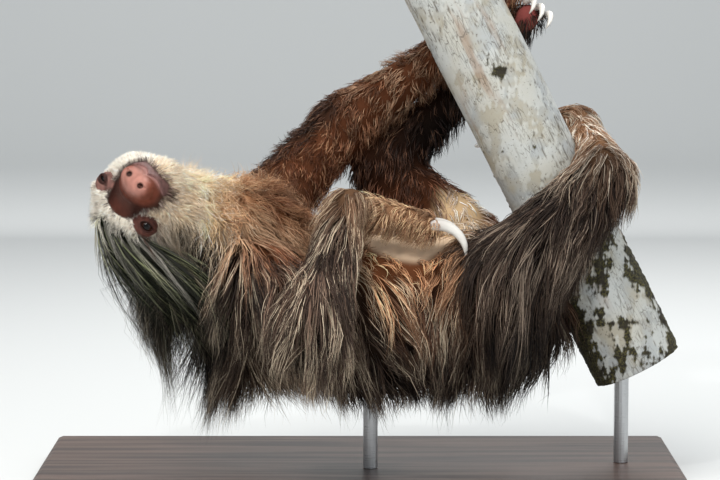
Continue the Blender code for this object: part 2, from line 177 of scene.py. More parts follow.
# name of the region, start, end, radii, blend with what is there already
BONES = [
    ("trunk", CHEST, BELLY, 0.0610, 0.0675, 0.020),
    ("trunk", BELLY, PELVIS, 0.0675, 0.0640, 0.020),
    ("trunk", PELVIS, RUMP, 0.0640, 0.0480, 0.020),
    ("neck", JAW_END, NECK, 0.0350, 0.0390, 0.020),
    ("neck", NECK, THROAT, 0.0390, 0.0420, 0.030),
    ("neck", THROAT, CHEST, 0.0420, 0.0580, 0.030),
    ("arm_right", SHOULDER_R, ELBOW_R, 0.0330, 0.0200, 0.022),
    ("forearm_right", ELBOW_R, WRIST_R, 0.0200, 0.0150, 0.012),
    ("hand_right", WRIST_R, KNUCKLE_R, 0.0135, 0.0110, 0.010),
    ("arm_left", SHOULDER_L, ELBOW_L, 0.0330, 0.0260, 0.022),
    ("forearm_left", ELBOW_L, WRIST_L, 0.0260, 0.0170, 0.012),
    ("hand_left", WRIST_L, KNUCKLE_L, 0.0160, 0.0120, 0.010),
    ("thigh_right", HIP_R, KNEE_R, 0.0390, 0.0240, 0.022),
    ("shank_right", KNEE_R, ANKLE_R, 0.0240, 0.0160, 0.012),
    ("foot_right", ANKLE_R, TOE_R, 0.0155, 0.0110, 0.010),
    ("thigh_left", HIP_L, KNEE_L, 0.0390, 0.0260, 0.022),
    ("shank_left", KNEE_L, ANKLE_L, 0.0260, 0.0180, 0.012),
    ("foot_left", ANKLE_L, TOE_L, 0.0165, 0.0120, 0.010),
]
REGIONS = ["head", *dict.fromkeys(bone[0] for bone in BONES)]

# The head's masses in its own frame: centre, radii and blend.
SKULL = [
    (point(0.000, -0.036, 0.000), point(0.0385, 0.0440, 0.0370), 0.010),
    (point(0.019, -0.024, -0.020), point(0.0205, 0.0290, 0.0230), 0.014),
    (point(-0.019, -0.024, -0.020), point(0.0205, 0.0290, 0.0230), 0.014),
    (point(0.0225, -0.008, 0.0090), point(0.0130, 0.0110, 0.0070), 0.010),
    (point(-0.0225, -0.008, 0.0090), point(0.0130, 0.0110, 0.0070), 0.010),
    (point(0.0020, 0.004, -0.0240), point(0.0250, 0.0215, 0.0180), 0.010),
    (point(0.0030, -0.020, -0.0350), point(0.0220, 0.0300, 0.0190), 0.012),
]
NOSE_SHIFT = 0.0028                         # the nose points a little to its right
MOUTH_HALF = 0.0170                         # half the mouth's width
LID_ROUND = 0.0088
ALMOND_ARC = 0.0086                         # radius of the two arcs that make the eye's opening
ALMOND_HALF = {1.0: 0.0034, -1.0: 0.0014}   # half the opening's height: its left eye is nearly shut
ALMOND_TILT = math.radians(12.0)            # its outer corner is lower


def mouth_height(right):
    """Height of the mouth line across the face."""
    share = np.abs(right - NOSE_SHIFT) / MOUTH_HALF
    sag = 0.0022 * np.sin(math.pi * np.minimum(share / 0.8, 1.0))
    return -0.0332 - sag + 0.0030 * smooth(0.75, 1.25, share)


def eye_axes(side):
    """Where an eye looks, its way out to the side, and up, in the head's frame."""
    turn = math.radians(EYE_LOOK) * side
    look = point(math.sin(turn), math.cos(turn), 0.0)
    out = point(math.cos(turn), -math.sin(turn), 0.0) * side
    high = point(0.0, 0.0, 1.0)
    wide = math.cos(ALMOND_TILT) * out - math.sin(ALMOND_TILT) * high
    high = math.cos(ALMOND_TILT) * high + math.sin(ALMOND_TILT) * out
    return look, wide, high


def add_nose(field, places):
    """The nose pad with its wings and middle groove, the two nostrils and the crease round it."""
    pad = ellipsoid(places, point(NOSE_SHIFT, 0.0300, -0.0215), point(0.0172, 0.0125, 0.0118))
    field = join(field, pad, 0.006)
    for side in SIDES:
        centre = point(NOSE_SHIFT + side * 0.0088, 0.0350, -0.0225)
        field = join(field, ellipsoid(places, centre, point(0.0075, 0.0080, 0.0082)), 0.0030)
    top, foot = point(NOSE_SHIFT, 0.0440, -0.0150), point(NOSE_SHIFT, 0.0400, -0.0320)
    field = carve(field, capsule(places, top, foot, 0.0008, 0.0008), 0.0030)
    right, forward, up = np.moveaxis(places, -1, 0)
    edge = smooth(1.20, 0.90, np.abs(right - NOSE_SHIFT) / MOUTH_HALF) * smooth(0.000, 0.010, forward)
    above = up - mouth_height(right)
    field = field + edge * (0.0013 * bell(above, 0.0011) - 0.0007 * bell(above + 0.0030, 0.0022))
    rim = np.hypot((right - NOSE_SHIFT) / 0.0176, (up + 0.0212) / 0.0128) - 1.0
    crease = 0.0010 * bell(rim - 0.12, 0.10)
    field = field + crease * smooth(0.018, 0.026, forward) * smooth(-0.030, -0.024, up)
    for side in SIDES:
        tip = point(NOSE_SHIFT + side * 0.0084, 0.0450, -0.0232)
        deep = point(NOSE_SHIFT + side * 0.0066, 0.0370, -0.0215)
        hole = capsule(places, tip, deep, 0.0023, 0.0016)
        slit = capsule(places, tip, tip + point(side * 0.0035, -0.0040, -0.0010), 0.0013, 0.0006)
        field = carve(carve(field, hole, 0.0022), slit, 0.0016)
    return field


def add_eyelids(field, places, side):
    """A domed lid with an almond opening, and a fold round the opening."""
    away = places - point(side * EYE_SPACING, EYE_DEPTH, 0.0)
    look, wide, high = eye_axes(side)
    field = join(field, size_of(away) - LID_ROUND, 0.0060)
    across, rise = away @ wide, away @ high
    drop = ALMOND_ARC - ALMOND_HALF[side]
    almond = np.maximum(np.hypot(across, rise + drop), np.hypot(across, rise - drop)) - ALMOND_ARC
    field = carve(field, np.maximum(almond, 0.0040 - away @ look), 0.0016)
    near = smooth(0.0110, 0.0070, np.abs(across)) * smooth(0.0, 0.003, away @ look)
    return field + 0.0005 * near * bell(almond - 0.0030, 0.0009)


def head_field(world):
    """Distance to the head's skin."""
    places = in_head(world)
    field = np.full(places.shape[:-1], 1.0)
    for centre, radii, blend in SKULL:
        field = join(field, ellipsoid(places, centre, radii), blend)
    root, tip = point(0.0, -0.010, -0.012), point(NOSE_SHIFT * 0.6, 0.016, -0.0190)
    field = join(field, capsule(places, root, tip, 0.0230, 0.0165), 0.012)
    field = add_nose(field, places)
    for side in SIDES:
        field = add_eyelids(field, places, side)
    return field


def body_fields(places):
    """The distance to each bone's flesh."""
    return [capsule(places, *bone[1:5]) for bone in BONES]


def skin_field(places):
    """Distance to the whole skin."""
    field = np.full(places.shape[:-1], 1.0)
    for bone, distance in zip(BONES, body_fields(places)):
        field = join(field, distance, bone[5])
    near = size_of(places - HEAD) < HEAD_REACH
    if near.any():
        field[near] = join(field[near], head_field(places[near]), HEAD_BLEND)
    return field


def stem_field(places):
    """Distance to the stem's bark."""
    return capsule(places, STEM_TOP, STEM_BOTTOM, STEM_RADIUS, STEM_RADIUS * 1.01)


def slope(field, places, step=0.0004):
    """Gradient of a field by central differences."""
    rises = [field(places + shift) - field(places - shift) for shift in step * np.eye(3)]
    return np.stack(rises, axis=-1) / (2.0 * step)


def push_out(field, places, clearance):
    """Moves the places that are nearer to a field's surface than a clearance, or inside it, out to it."""
    distance = field(places)
    deep = distance < clearance
    if deep.any():
        gap = (clearance - distance)[deep]
        places[deep] += unit(slope(field, places[deep])) * gap[:, None]


# ---------------------------------------------------------------- meshes

def vertex_places(mesh):
    """Places of a mesh's vertices, as an array."""
    places = np.empty(len(mesh.vertices) * 3)
    mesh.vertices.foreach_get("co", places)
    return places.reshape(-1, 3)


def paint_vertices(mesh, name, colours):
    """Stores each vertex's colour, of three channels, under a name."""
    full = np.ones((len(colours), 4))
    full[:, :3] = colours
    mesh.color_attributes.new(name, "FLOAT_COLOR", "POINT").data.foreach_set("color", full.ravel())


def add_object(name, data, *materials):
    """A new object in the scene, with its materials."""
    made = bpy.data.objects.new(name, data)
    bpy.context.scene.collection.objects.link(made)
    for material in materials:
        data.materials.append(material)
    return made


def tube_faces(rings, sides, first=0):
    """The quads of a tube, ring by ring; first is the number of its first vertex."""
    here = first + np.arange(rings * sides).reshape(rings, sides)
    after = np.roll(here, -1, axis=1)
    return np.stack([here[:-1], after[:-1], after[1:], here[1:]], axis=-1).reshape(-1, 4).tolist()


def closed_mesh(name, vertices, faces):
    """A smooth mesh whose faces all look outwards."""
    mesh = bpy.data.meshes.new(name)
    mesh.from_pydata(vertices.tolist(), [], faces)
    builder = bmesh.new()
    builder.from_mesh(mesh)
    bmesh.ops.recalc_face_normals(builder, faces=builder.faces)
    builder.to_mesh(mesh)
    builder.free()
    mesh.shade_smooth()
    return mesh


# ---------------------------------------------------------------- skin mesh

GRID_STEP = 0.0030
SLAB = 16                                  # layers of the grid that are computed at once
SKIN_LOW = point(-0.285, -0.180, 0.080)
SKIN_HIGH = point(0.275, 0.160, 0.505)

# Where the face's mesh is refined, one after the other: centre in the head's frame, radius.
REFINED = [
    ((0.0, 0.0, -0.010), 0.058),
    ((0.0, 0.012, -0.012), 0.046),
    ((EYE_SPACING, 0.002, 0.0), 0.0125),
    ((-EYE_SPACING, 0.002, 0.0), 0.0125),
    ((NOSE_SHIFT, 0.034, -0.0270), 0.0200),
]


def grid_field():
    """The skin's field on a grid, slab by slab."""
    counts = np.ceil((SKIN_HIGH - SKIN_LOW) / GRID_STEP).astype(int)
    xs, ys, zs = (SKIN_LOW[axis] + GRID_STEP * np.arange(counts[axis]) for axis in range(3))
    slabs = [xs[start:start + SLAB] for start in range(0, len(xs), SLAB)]
    return np.concatenate([skin_field(np.stack(np.meshgrid(slab, ys, zs, indexing="ij"), axis=-1))
                           for slab in slabs])


def polygonise(values):
    """Surface nets: a vertex in each cell that the surface crosses, and the quads between them."""
    inside = values < 0.0
    corners = [(i, j, k) for i in (0, 1) for j in (0, 1) for k in (0, 1)]
    wide, deep, high = size = [count - 1 for count in values.shape]
    cells = sum(inside[i:i + wide, j:j + deep, k:k + high].astype(int) for i, j, k in corners)
    crossed = (cells > 0) & (cells < len(corners))
    where = np.argwhere(crossed)
    number = np.full(size, -1)
    number[crossed] = np.arange(len(where))
    total, count = np.zeros((len(where), 3)), np.zeros(len(where))
    for first in corners:
        for step in np.eye(3, dtype=int):
            if (first * step).any():
                continue
            a, b = (values[tuple((where + corner).T)] for corner in (first, first + step))
            cut = (a < 0) != (b < 0)
            share = np.where(cut, a / np.where(cut, a - b, 1.0), 0.0)
            total += np.where(cut[:, None], first + share[:, None] * step, 0.0)
            count += cut
    vertices = SKIN_LOW + GRID_STEP * (where + total / count[:, None])
    quads = []
    for axis in range(3):
        solid, numbers = np.moveaxis(inside, axis, 0), np.moveaxis(number, axis, 0)
        change = solid[:-1] != solid[1:]
        x, y, z = (np.argwhere(change[:, 1:-1, 1:-1]) + (0, 1, 1)).T
        loop = np.stack([numbers[x, y - 1, z - 1], numbers[x, y, z - 1],
                         numbers[x, y, z], numbers[x, y - 1, z]], axis=1)
        backward = solid[x, y, z] if axis == 1 else ~solid[x, y, z]
        loop[backward] = loop[backward][:, ::-1]
        quads.append(loop)
    return vertices, np.concatenate(quads)


def on_surface(places, rounds=3):
    """Places moved onto the skin's zero surface."""
    for _ in range(rounds):
        distance = skin_field(places)
        gradient = slope(skin_field, places)
        places = places - gradient * (distance / np.maximum(dot(gradient, gradient), 0.2))[:, None]
    return places


def make_skin():
    """The whole skin as one mesh, finer on the face."""
    vertices, quads = polygonise(grid_field())
    mesh = bpy.data.meshes.new("skin")
    mesh.from_pydata(vertices.tolist(), [], quads.tolist())
    builder = bmesh.new()
    builder.from_mesh(mesh)
    if builder.calc_volume(signed=True) < 0:
        bmesh.ops.reverse_faces(builder, faces=builder.faces)
    for spot, radius in REFINED:
        centre, edges = Vector(head_place(*spot)), set()
        for face in builder.faces:
            if (face.calc_center_median() - centre).length < radius:
                edges.update(face.edges)
        bmesh.ops.subdivide_edges(builder, edges=list(edges), cuts=1, use_grid_fill=True)
    bmesh.ops.triangulate(builder, faces=[face for face in builder.faces if len(face.verts) > 4])
    builder.to_mesh(mesh)
    builder.free()
    mesh.vertices.foreach_set("co", on_surface(vertex_places(mesh)).ravel())
    mesh.shade_smooth()
    return add_object("skin", mesh)


# ---------------------------------------------------------------- materials' nodes

class Graph:
    """A new material, with short names for wiring its nodes."""

    def __init__(self, name, roughness, **sockets):
        self.material = bpy.data.materials.new(name)
        self.material.use_nodes = True
        self.tree = self.material.node_tree
        self.shader = self.tree.nodes["Principled BSDF"]
        self.set(Roughness=roughness, **sockets)

    def feed(self, socket, value):
        """Gives an input a value, a colour, a vector or the output of another node."""
        if isinstance(value, bpy.types.NodeSocket):
            self.tree.links.new(value, socket)
        elif isinstance(value, np.ndarray):
            socket.default_value = (*value, 1.0) if socket.type == "RGBA" else tuple(value)
        else:
            socket.default_value = value

    def set(self, **sockets):
        """Feeds the surface shader's inputs."""
        for name, value in sockets.items():
            self.feed(self.shader.inputs[name.replace("_", " ")], value)

    def node(self, kind, *values, options=(), **inputs):
        """A node whose inputs are fed by place or by name."""
        made = self.tree.nodes.new("ShaderNode" + kind)
        for name, value in dict(options).items():
            setattr(made, name, value)
        for number, value in enumerate(values):
            self.feed(made.inputs[number], value)
        for name, value in inputs.items():
            self.feed(made.inputs[name.replace("_", " ")], value)
        return made

    def attribute(self, name, output="Color"):
        return self.node("Attribute", options={"attribute_name": name}).outputs[output]

    def here(self):
        """The place on the object."""
        return self.node("TexCoord").outputs["Object"]

    def scaled(self, vector, *scales):
        return self.node("VectorMath", vector, point(*scales), options={"operation": "MULTIPLY"}).outputs[0]

    def noise(self, vector, scale, detail=3.0, roughness=0.55):
        made = self.node("TexNoise", Vector=vector, Scale=scale, Detail=detail, Roughness=roughness)
        return made.outputs["Fac"]

    def edges(self, vector, scale):
        """Distance to the edges of cells."""
        options = {"feature": "DISTANCE_TO_EDGE"}
        return self.node("TexVoronoi", options=options, Vector=vector, Scale=scale).outputs["Distance"]

    def ramp(self, value, low, high, start=0.0, end=1.0):
        return self.node("MapRange", options={"interpolation_type": "SMOOTHSTEP"}, Value=value,
                         From_Min=low, From_Max=high, To_Min=start, To_Max=end).outputs["Result"]

    def math(self, operation, first, second):
        return self.node("Math", first, second, options={"operation": operation}).outputs[0]

    def blend(self, share, first, second):
        """A colour between two others."""
        made = self.node("Mix", share, options={"data_type": "RGBA"})
        ends = [socket for socket in made.inputs if socket.type == "RGBA"]
        self.feed(ends[0], first)
        self.feed(ends[1], second)
        return next(socket for socket in made.outputs if socket.type == "RGBA")

    def layers(self, colour, *layers):
        """Lays colours over a colour: each layer is a mask, an amount and its colour."""
        for mask, amount, over in layers:
            colour = self.blend(self.math("MULTIPLY", mask, amount), colour, over)
        return colour

    def bump(self, height, strength, distance):
        made = self.node("Bump", Strength=strength, Distance=distance, Height=height)
        self.set(Normal=made.outputs["Normal"])


def tinted(name, roughness, **sockets):
    """A material whose colour is the mesh's own tint."""
    graph = Graph(name, roughness, **sockets)
    graph.set(Base_Color=graph.attribute("tint"))
    return graph


# ---------------------------------------------------------------- stage

FLOOR_HALF = 6.0                           # half its width, and how far it comes forward
WALL_PLACE, WALL_BEND, WALL_TOP = 4.0, 1.4, 4.5
BEND_STEPS = 12

# name, power, size, place, what it points at, colour
LIGHTS = [
    ("key", 52.0, 1.6, (-0.7, -1.3, 2.2), (0.0, 0.0, 0.25), (1.0, 0.98, 0.95)),
    ("fill", 13.0, 2.0, (1.8, -1.6, 0.9), (0.0, 0.0, 0.25), (0.95, 0.98, 1.0)),
    ("rim", 30.0, 1.2, (0.6, 1.2, 1.9), (0.0, 0.0, 0.30), (1.0, 1.0, 1.0)),
    ("backdrop", 32.0, 3.2, (0.0, 2.3, 1.9), (0.0, 5.6, 1.9), (1.0, 1.0, 1.0)),
    ("glint", 8.0, 0.05, (-0.45, -1.6, 1.5), (-0.2, 0.0, 0.28), (1.0, 1.0, 1.0)),
]
CAMERA_TARGET, CAMERA_DISTANCE, CAMERA_RISE = Vector((0.0, 0.0, 0.240)), 2.6, math.radians(6.0)
CAMERA_LENS, CAMERA_SENSOR = 136.5, 36.0
FLOOR_COLOUR = point(0.66, 0.67, 0.66)
SKY_COLOUR, SKY_STRENGTH = (0.90, 0.95, 1.0, 1.0), 0.50


def aim(thing, place, target):
    """Puts a lamp or camera at a place and points it at another."""
    thing.location = place
    thing.rotation_euler = (Vector(target) - Vector(place)).to_track_quat("-Z", "Y").to_euler()


def make_stage():
    """A pale floor that turns up into a backdrop, soft lights and the camera."""
    profile = [(-FLOOR_HALF, 0.0), (WALL_PLACE, 0.0)]
    for turn in np.linspace(0.0, math.pi / 2, BEND_STEPS + 1)[1:]:
        profile.append((WALL_PLACE + WALL_BEND * math.sin(turn), WALL_BEND * (1 - math.cos(turn))))
    profile.append((WALL_PLACE + WALL_BEND, WALL_TOP))
    count = len(profile)
    mesh = bpy.data.meshes.new("floor")
    mesh.from_pydata([(side * FLOOR_HALF, y, z) for side in (-1, 1) for y, z in profile], [],
                     [(step, count + step, count + step + 1, step + 1) for step in range(count - 1)])
    mesh.shade_smooth()
    floor = add_object("floor", mesh, Graph("floor_paper", 0.9, Base_Color=FLOOR_COLOUR).material)

    for name, power, size, place, target, colour in LIGHTS:
        light = bpy.data.lights.new(name, "AREA")
        light.energy, light.size, light.color = power, size, colour
        aim(add_object(name, light), place, target)

    world = bpy.data.worlds.new("studio")
    world.use_nodes = True
    sky = world.node_tree.nodes["Background"].inputs
    sky["Color"].default_value, sky["Strength"].default_value = SKY_COLOUR, SKY_STRENGTH
    bpy.context.scene.world = world

    camera = add_object("camera", bpy.data.cameras.new("camera"))
    away = Vector((0.0, -math.cos(CAMERA_RISE), math.sin(CAMERA_RISE)))
    aim(camera, CAMERA_TARGET + CAMERA_DISTANCE * away, CAMERA_TARGET)
    camera.data.sensor_width = CAMERA_SENSOR
    camera.data.lens = CAMERA_LENS
    bpy.context.scene.camera = camera
    bpy.context.scene.view_settings.view_transform = "Standard"


# ---------------------------------------------------------------- markings, shared by skin and coat

WAVES = np.random.default_rng(3).normal(size=(9, 3))


def drift_of(places, size, seed=0.0):
    """Smooth noise of -1 to 1 whose blots are about size metres across."""
    total = np.zeros(places.shape[:-1])
    for number, wave in enumerate(WAVES):
        total += np.sin(places @ wave * (2.2 / size) + 1.7 * number + seed * (number + 1.3))
    return total / 3.6


CREAM = rgb(252, 243, 229)
WARM_CREAM = rgb(252, 226, 192)
STRAW = rgb(236, 202, 158)
ORANGE = rgb(190, 140, 102)
TAN = rgb(166, 124, 92)
RUST = rgb(128, 78, 50)
COOL_BROWN = rgb(84, 66, 55)
RED_BROWN = rgb(108, 66, 45)
RED_BLACK = rgb(34, 18, 13)
BROWN = rgb(96, 70, 54)
DARK = rgb(48, 37, 31)
BLACK = rgb(22, 18, 16)
GREEN_BLACK = rgb(46, 54, 31)
PALE_TIP = rgb(214, 196, 170)
GREY_TIP = rgb(164, 146, 128)
GREEN_TIP = rgb(190, 194, 146)
BARE_BROWN = rgb(96, 58, 50)
FAR_PATCH = rgb(124, 88, 80)
MUZZLE_BROWN = rgb(38, 15, 9)
MUZZLE_WARM = rgb(122, 66, 50)
NOSE_PINK = rgb(168, 117, 104)
CHIN_GREY = rgb(118, 86, 82)
LIP_PINK = rgb(196, 150, 142)
BELLY_SKIN = rgb(232, 202, 170)
SOLE_PINK = rgb(126, 66, 62)

REGION_BLEND = 0.006                       # how wide the regions run into one another
MUZZLE_WIDEST = -0.022                     # height in the head's frame where the bare muzzle is widest
SKIN_PAINTED_SHADE, FACE_LIGHTER = 0.75, 1.45     # the skin beside the coat's under-fur: darker as painted shade between the tufts, lighter on the face

# For each region: under-fur, dark strands, middling strands, pale strands.
TONES = {
    "head": (CREAM * 0.85, CREAM * 0.92, CREAM, CREAM * 1.06),
    "neck": (RUST, ORANGE, ORANGE, STRAW),
    "trunk": (DARK, DARK, COOL_BROWN, PALE_TIP),
    "arm_right": (DARK, DARK * 1.3, COOL_BROWN * 1.9, PALE_TIP * 1.1),
    "forearm_right": (DARK, DARK * 1.3, COOL_BROWN * 1.9, PALE_TIP * 1.1),
    "hand_right": (TAN * 0.8, TAN, ORANGE * 0.65 + PALE_TIP * 0.22, STRAW),
    "arm_left": (RED_BROWN * 0.8, RED_BROWN * 0.7, RED_BROWN * 1.5, TAN * 1.2),
    "forearm_left": (RED_BROWN * 0.8, RED_BROWN * 0.7, RED_BROWN * 1.5, TAN * 1.2),
    "hand_left": (RED_BROWN * 0.6, DARK, RED_BROWN * 1.2, TAN),
    "thigh_right": (BLACK, DARK * 0.8, COOL_BROWN * 0.9, GREY_TIP),
    "shank_right": (DARK, DARK * 1.1, BROWN * 1.15, PALE_TIP),
    "foot_right": (TAN * 0.8, TAN * 0.9, PALE_TIP * 0.6, PALE_TIP * 1.2),
    "thigh_left": (RED_BROWN * 0.4, RED_BROWN * 0.4, RED_BROWN * 1.1, RED_BROWN * 1.8),
    "shank_left": (BLACK, BLACK, RED_BLACK, BROWN),
    "foot_left": (BLACK, BLACK, DARK, BROWN),
}


def bare_width(up):
    """Half the width of the face's bare skin at a height in the head's frame."""
    rise = up - MUZZLE_WIDEST
    above = np.clip(rise / 0.0350, 0.0, 1.0)
    below = np.clip(-rise / 0.0235, 0.0, 1.0)
    taper = 0.0255 - 0.22 * np.maximum(rise, 0.0)
    return taper * np.sqrt(1.0 - 0.999 * np.where(rise > 0.0, above ** 6, below ** 3))


def face_masks(places):
    """Bare muzzle, nose pad, chin and the skin round the eyes, each from 0 to 1."""
    local = in_head(places)
    right, forward, up = np.moveaxis(local, -1, 0)
    middle = 0.0030 - 0.13 * np.maximum(up - MUZZLE_WIDEST, 0.0)
    ragged = 1.0 + 0.06 * drift_of(places, 0.006)
    edge = np.abs(right - middle) / np.maximum(bare_width(up), 0.002) * ragged
    bare = (1.0 - smooth(0.72, 1.20, edge)) * smooth(-0.018, -0.006, forward)
    bare = bare * smooth(0.0160, 0.0105, up * ragged) * smooth(-0.0445, -0.0390, up)
    spot = np.hypot((right - NOSE_SHIFT) / 0.0156, (up + 0.0210) / 0.0116)
    nose = (1.0 - smooth(0.72, 1.14, spot)) * smooth(0.018, 0.030, forward)
    chin = smooth(-0.0006, 0.0006, mouth_height(right) - up) * bare
    eyes = np.zeros(right.shape)
    for side in SIDES:
        away = (local - point(side * (EYE_SPACING - 0.0010), 0.0, 0.0)) / point(0.0125, 0.0140, 0.0106)
        eyes = np.maximum(eyes, 1.0 - smooth(0.82, 1.12, size_of(away) * ragged))
    return bare, nose, chin, eyes


def crown_share(places):
    """1 on the long dark crown and back of the head, 0 on the face."""
    line = 0.268 - 0.27 * (places[..., 0] + 0.248)
    below = line - places[..., 2] + 0.004 * drift_of(places, 0.020)
    behind = -in_head(places)[..., 1] - 0.062
    return smooth(-0.006, 0.007, np.maximum(below, behind))


def belly_offset(places):
    """Where a place lies along and across the belly's bare strip, whose edge is at a length of 1."""
    return np.stack([(places[..., 0] - 0.042) / 0.048, (places[..., 1] + 0.010) / 0.036], axis=-1)


def belly_share(places):
    """1 on the bare strip of the belly."""
    offset = belly_offset(places)
    high = smooth(0.217, 0.226, places[..., 2])
    return (1.0 - smooth(0.85, 1.1, np.hypot(offset[..., 0], offset[..., 1]))) * high


def ridge_share(places):
    """1 along the top of the far arm, where dark wisps stand up."""
    axis = unit(WRIST_L - ELBOW_L)
    across = unit(np.cross(axis, point(0.0, -1.0, 0.0)))
    across = across if across[2] > 0 else -across
    return smooth(0.006, 0.016, (places - ELBOW_L) @ across)


def dark_line(places, rise=0.0):
    """1 below the slanting line where the shoulder's tan fur turns dark, 0 above it."""
    line = 0.247 + rise - 0.56 * (places[..., 0] + 0.150) + 0.006 * drift_of(places, 0.03)
    return smooth(0.008, -0.012, places[..., 2] - line)


def region_weights(places):
    """How much each region of REGIONS has of each place, as an array of places x regions."""
    distances = {name: np.full(len(places), 1.0) for name in REGIONS}
    distances["head"] = head_field(places)
    for bone, distance in zip(BONES, body_fields(places)):
        distances[bone[0]] = np.minimum(distances[bone[0]], distance)
    table = np.stack([distances[name] for name in REGIONS], axis=1)
    weights = np.exp(-(table - table.min(axis=1, keepdims=True)) / REGION_BLEND)
    return weights / weights.sum(axis=1, keepdims=True)


def part_of(weights, *names):
    """How much the named regions have of each place."""
    return sum(weights[:, REGIONS.index(name)] for name in names)


def tones_at(places, weights):
    """Under-fur, dark, middling and pale tones of each place, as an array of places x 4 x 3."""
    x, y, z = places.T
    trunk, arm = part_of(weights, "trunk"), part_of(weights, "arm_right")
    neck, head = part_of(weights, "neck"), part_of(weights, "head")

    flank = trunk * smooth(0.150, 0.225, z + 0.010 * drift_of(places, 0.05)) * smooth(-0.02, 0.03, x)
    high = trunk * smooth(0.195, 0.225, z + 0.006 * drift_of(places, 0.03)) * smooth(-0.03, 0.01, x)
    chest = np.maximum(trunk, arm) * smooth(0.212, 0.250, z + 0.010 * drift_of(places, 0.04))
    chest = chest * smooth(-0.01, -0.06, x)
    low = trunk * smooth(0.150, 0.105, z)

    # The face is cream; the throat turns to straw and tan, the nape below it is dark.
    front = np.clip(head + neck, 0, 1)
    back = x + 0.008 * drift_of(places, 0.016)
    below = dark_line(places, 0.013) * np.clip(neck + arm + trunk * smooth(-0.05, -0.09, x), 0, 1)
    nape = below * smooth(-0.105, -0.135, x)
    bare, _, _, eyes = face_masks(places)
    muzzle, lids = head * smooth(0.12, 0.85, bare), head * smooth(0.25, 0.75, eyes)
    crown = head * crown_share(places)

    far_arm = part_of(weights, "arm_left", "forearm_left")
    lit = far_arm * smooth(-0.045, 0.020, x)
    wisps = far_arm * ridge_share(places) * smooth(0.010, -0.040, x)
    shade = part_of(weights, "thigh_left") * smooth(0.10, 0.04, x) * smooth(0.27, 0.32, z)
    light = part_of(weights, "shank_right") * smooth(0.30, 0.345, z)
    # painted shade: the near thigh's lower side, which faces away from the light, turns darker
    under = part_of(weights, "thigh_right") * smooth(0.225, 0.165, z)
    groin = smooth(0.222, 0.236, z) * smooth(0.066, 0.084, x) * smooth(0.126, 0.108, x)
    groin = groin * smooth(-0.034, -0.014, y) * smooth(0.085, 0.060, y) * smooth(0.290, 0.274, z)

    tones = np.einsum("nr,rtc->ntc", weights, np.array([TONES[name] for name in REGIONS]))
    for share, *colours in (
        (0.8 * flank, RUST * 0.30, RUST * 0.60, TAN * 1.15, PALE_TIP * 1.1),
        (0.9 * high, RUST * 0.9, TAN * 1.4, ORANGE * 1.55, STRAW * 1.2),
        (0.9 * chest, RUST * 0.45, RUST * 0.75, RUST * 1.35, ORANGE * 0.95),
        (0.8 * low, BLACK, DARK, COOL_BROWN * 0.8, GREY_TIP),
        (front * smooth(-0.205, -0.160, back), WARM_CREAM, WARM_CREAM, WARM_CREAM, CREAM),
        (front * smooth(-0.156, -0.138, back), STRAW, STRAW, STRAW * 1.1, CREAM),
        (front * smooth(-0.134, -0.114, back), ORANGE, ORANGE, ORANGE * 1.1, STRAW),
        (front * smooth(-0.116, -0.092, back), RUST * 0.6, RUST * 0.8, TAN * 0.9, ORANGE),
        (0.9 * below, DARK, DARK, COOL_BROWN * 1.3, PALE_TIP * 1.1),
        (nape, BLACK * 0.5, BLACK * 0.7, DARK * 0.8, PALE_TIP * 0.7),
        (0.9 * muzzle, MUZZLE_BROWN * 1.5, MUZZLE_BROWN * 1.5, CHIN_GREY * 0.45, CHIN_GREY * 1.4),
        (lids, BARE_BROWN * 0.8, BARE_BROWN * 0.8, BARE_BROWN, TAN),
        (crown, GREEN_BLACK * 0.25, GREEN_BLACK * 0.25, GREEN_BLACK * 0.75, GREEN_TIP),
        (0.5 * lit, RED_BROWN * 0.5, TAN * 0.25, TAN * 0.65, PALE_TIP * 0.5),
        (0.8 * wisps, DARK, BLACK, DARK, BROWN),
        (shade, BLACK, BLACK, DARK, BROWN),
        (light, TAN * 0.7, TAN * 0.85, PALE_TIP * 0.6 + ORANGE * 0.35, CREAM),
        # painted shade on the near thigh's lower side
        (under, BLACK * 0.5, BLACK * 0.6, DARK * 0.65, BROWN * 0.8),
        (0.95 * groin, STRAW * 0.9, STRAW, CREAM * 0.95, CREAM),
    ):
        tones = tones + (np.array(colours) - tones) * share[:, None, None]
    return tones


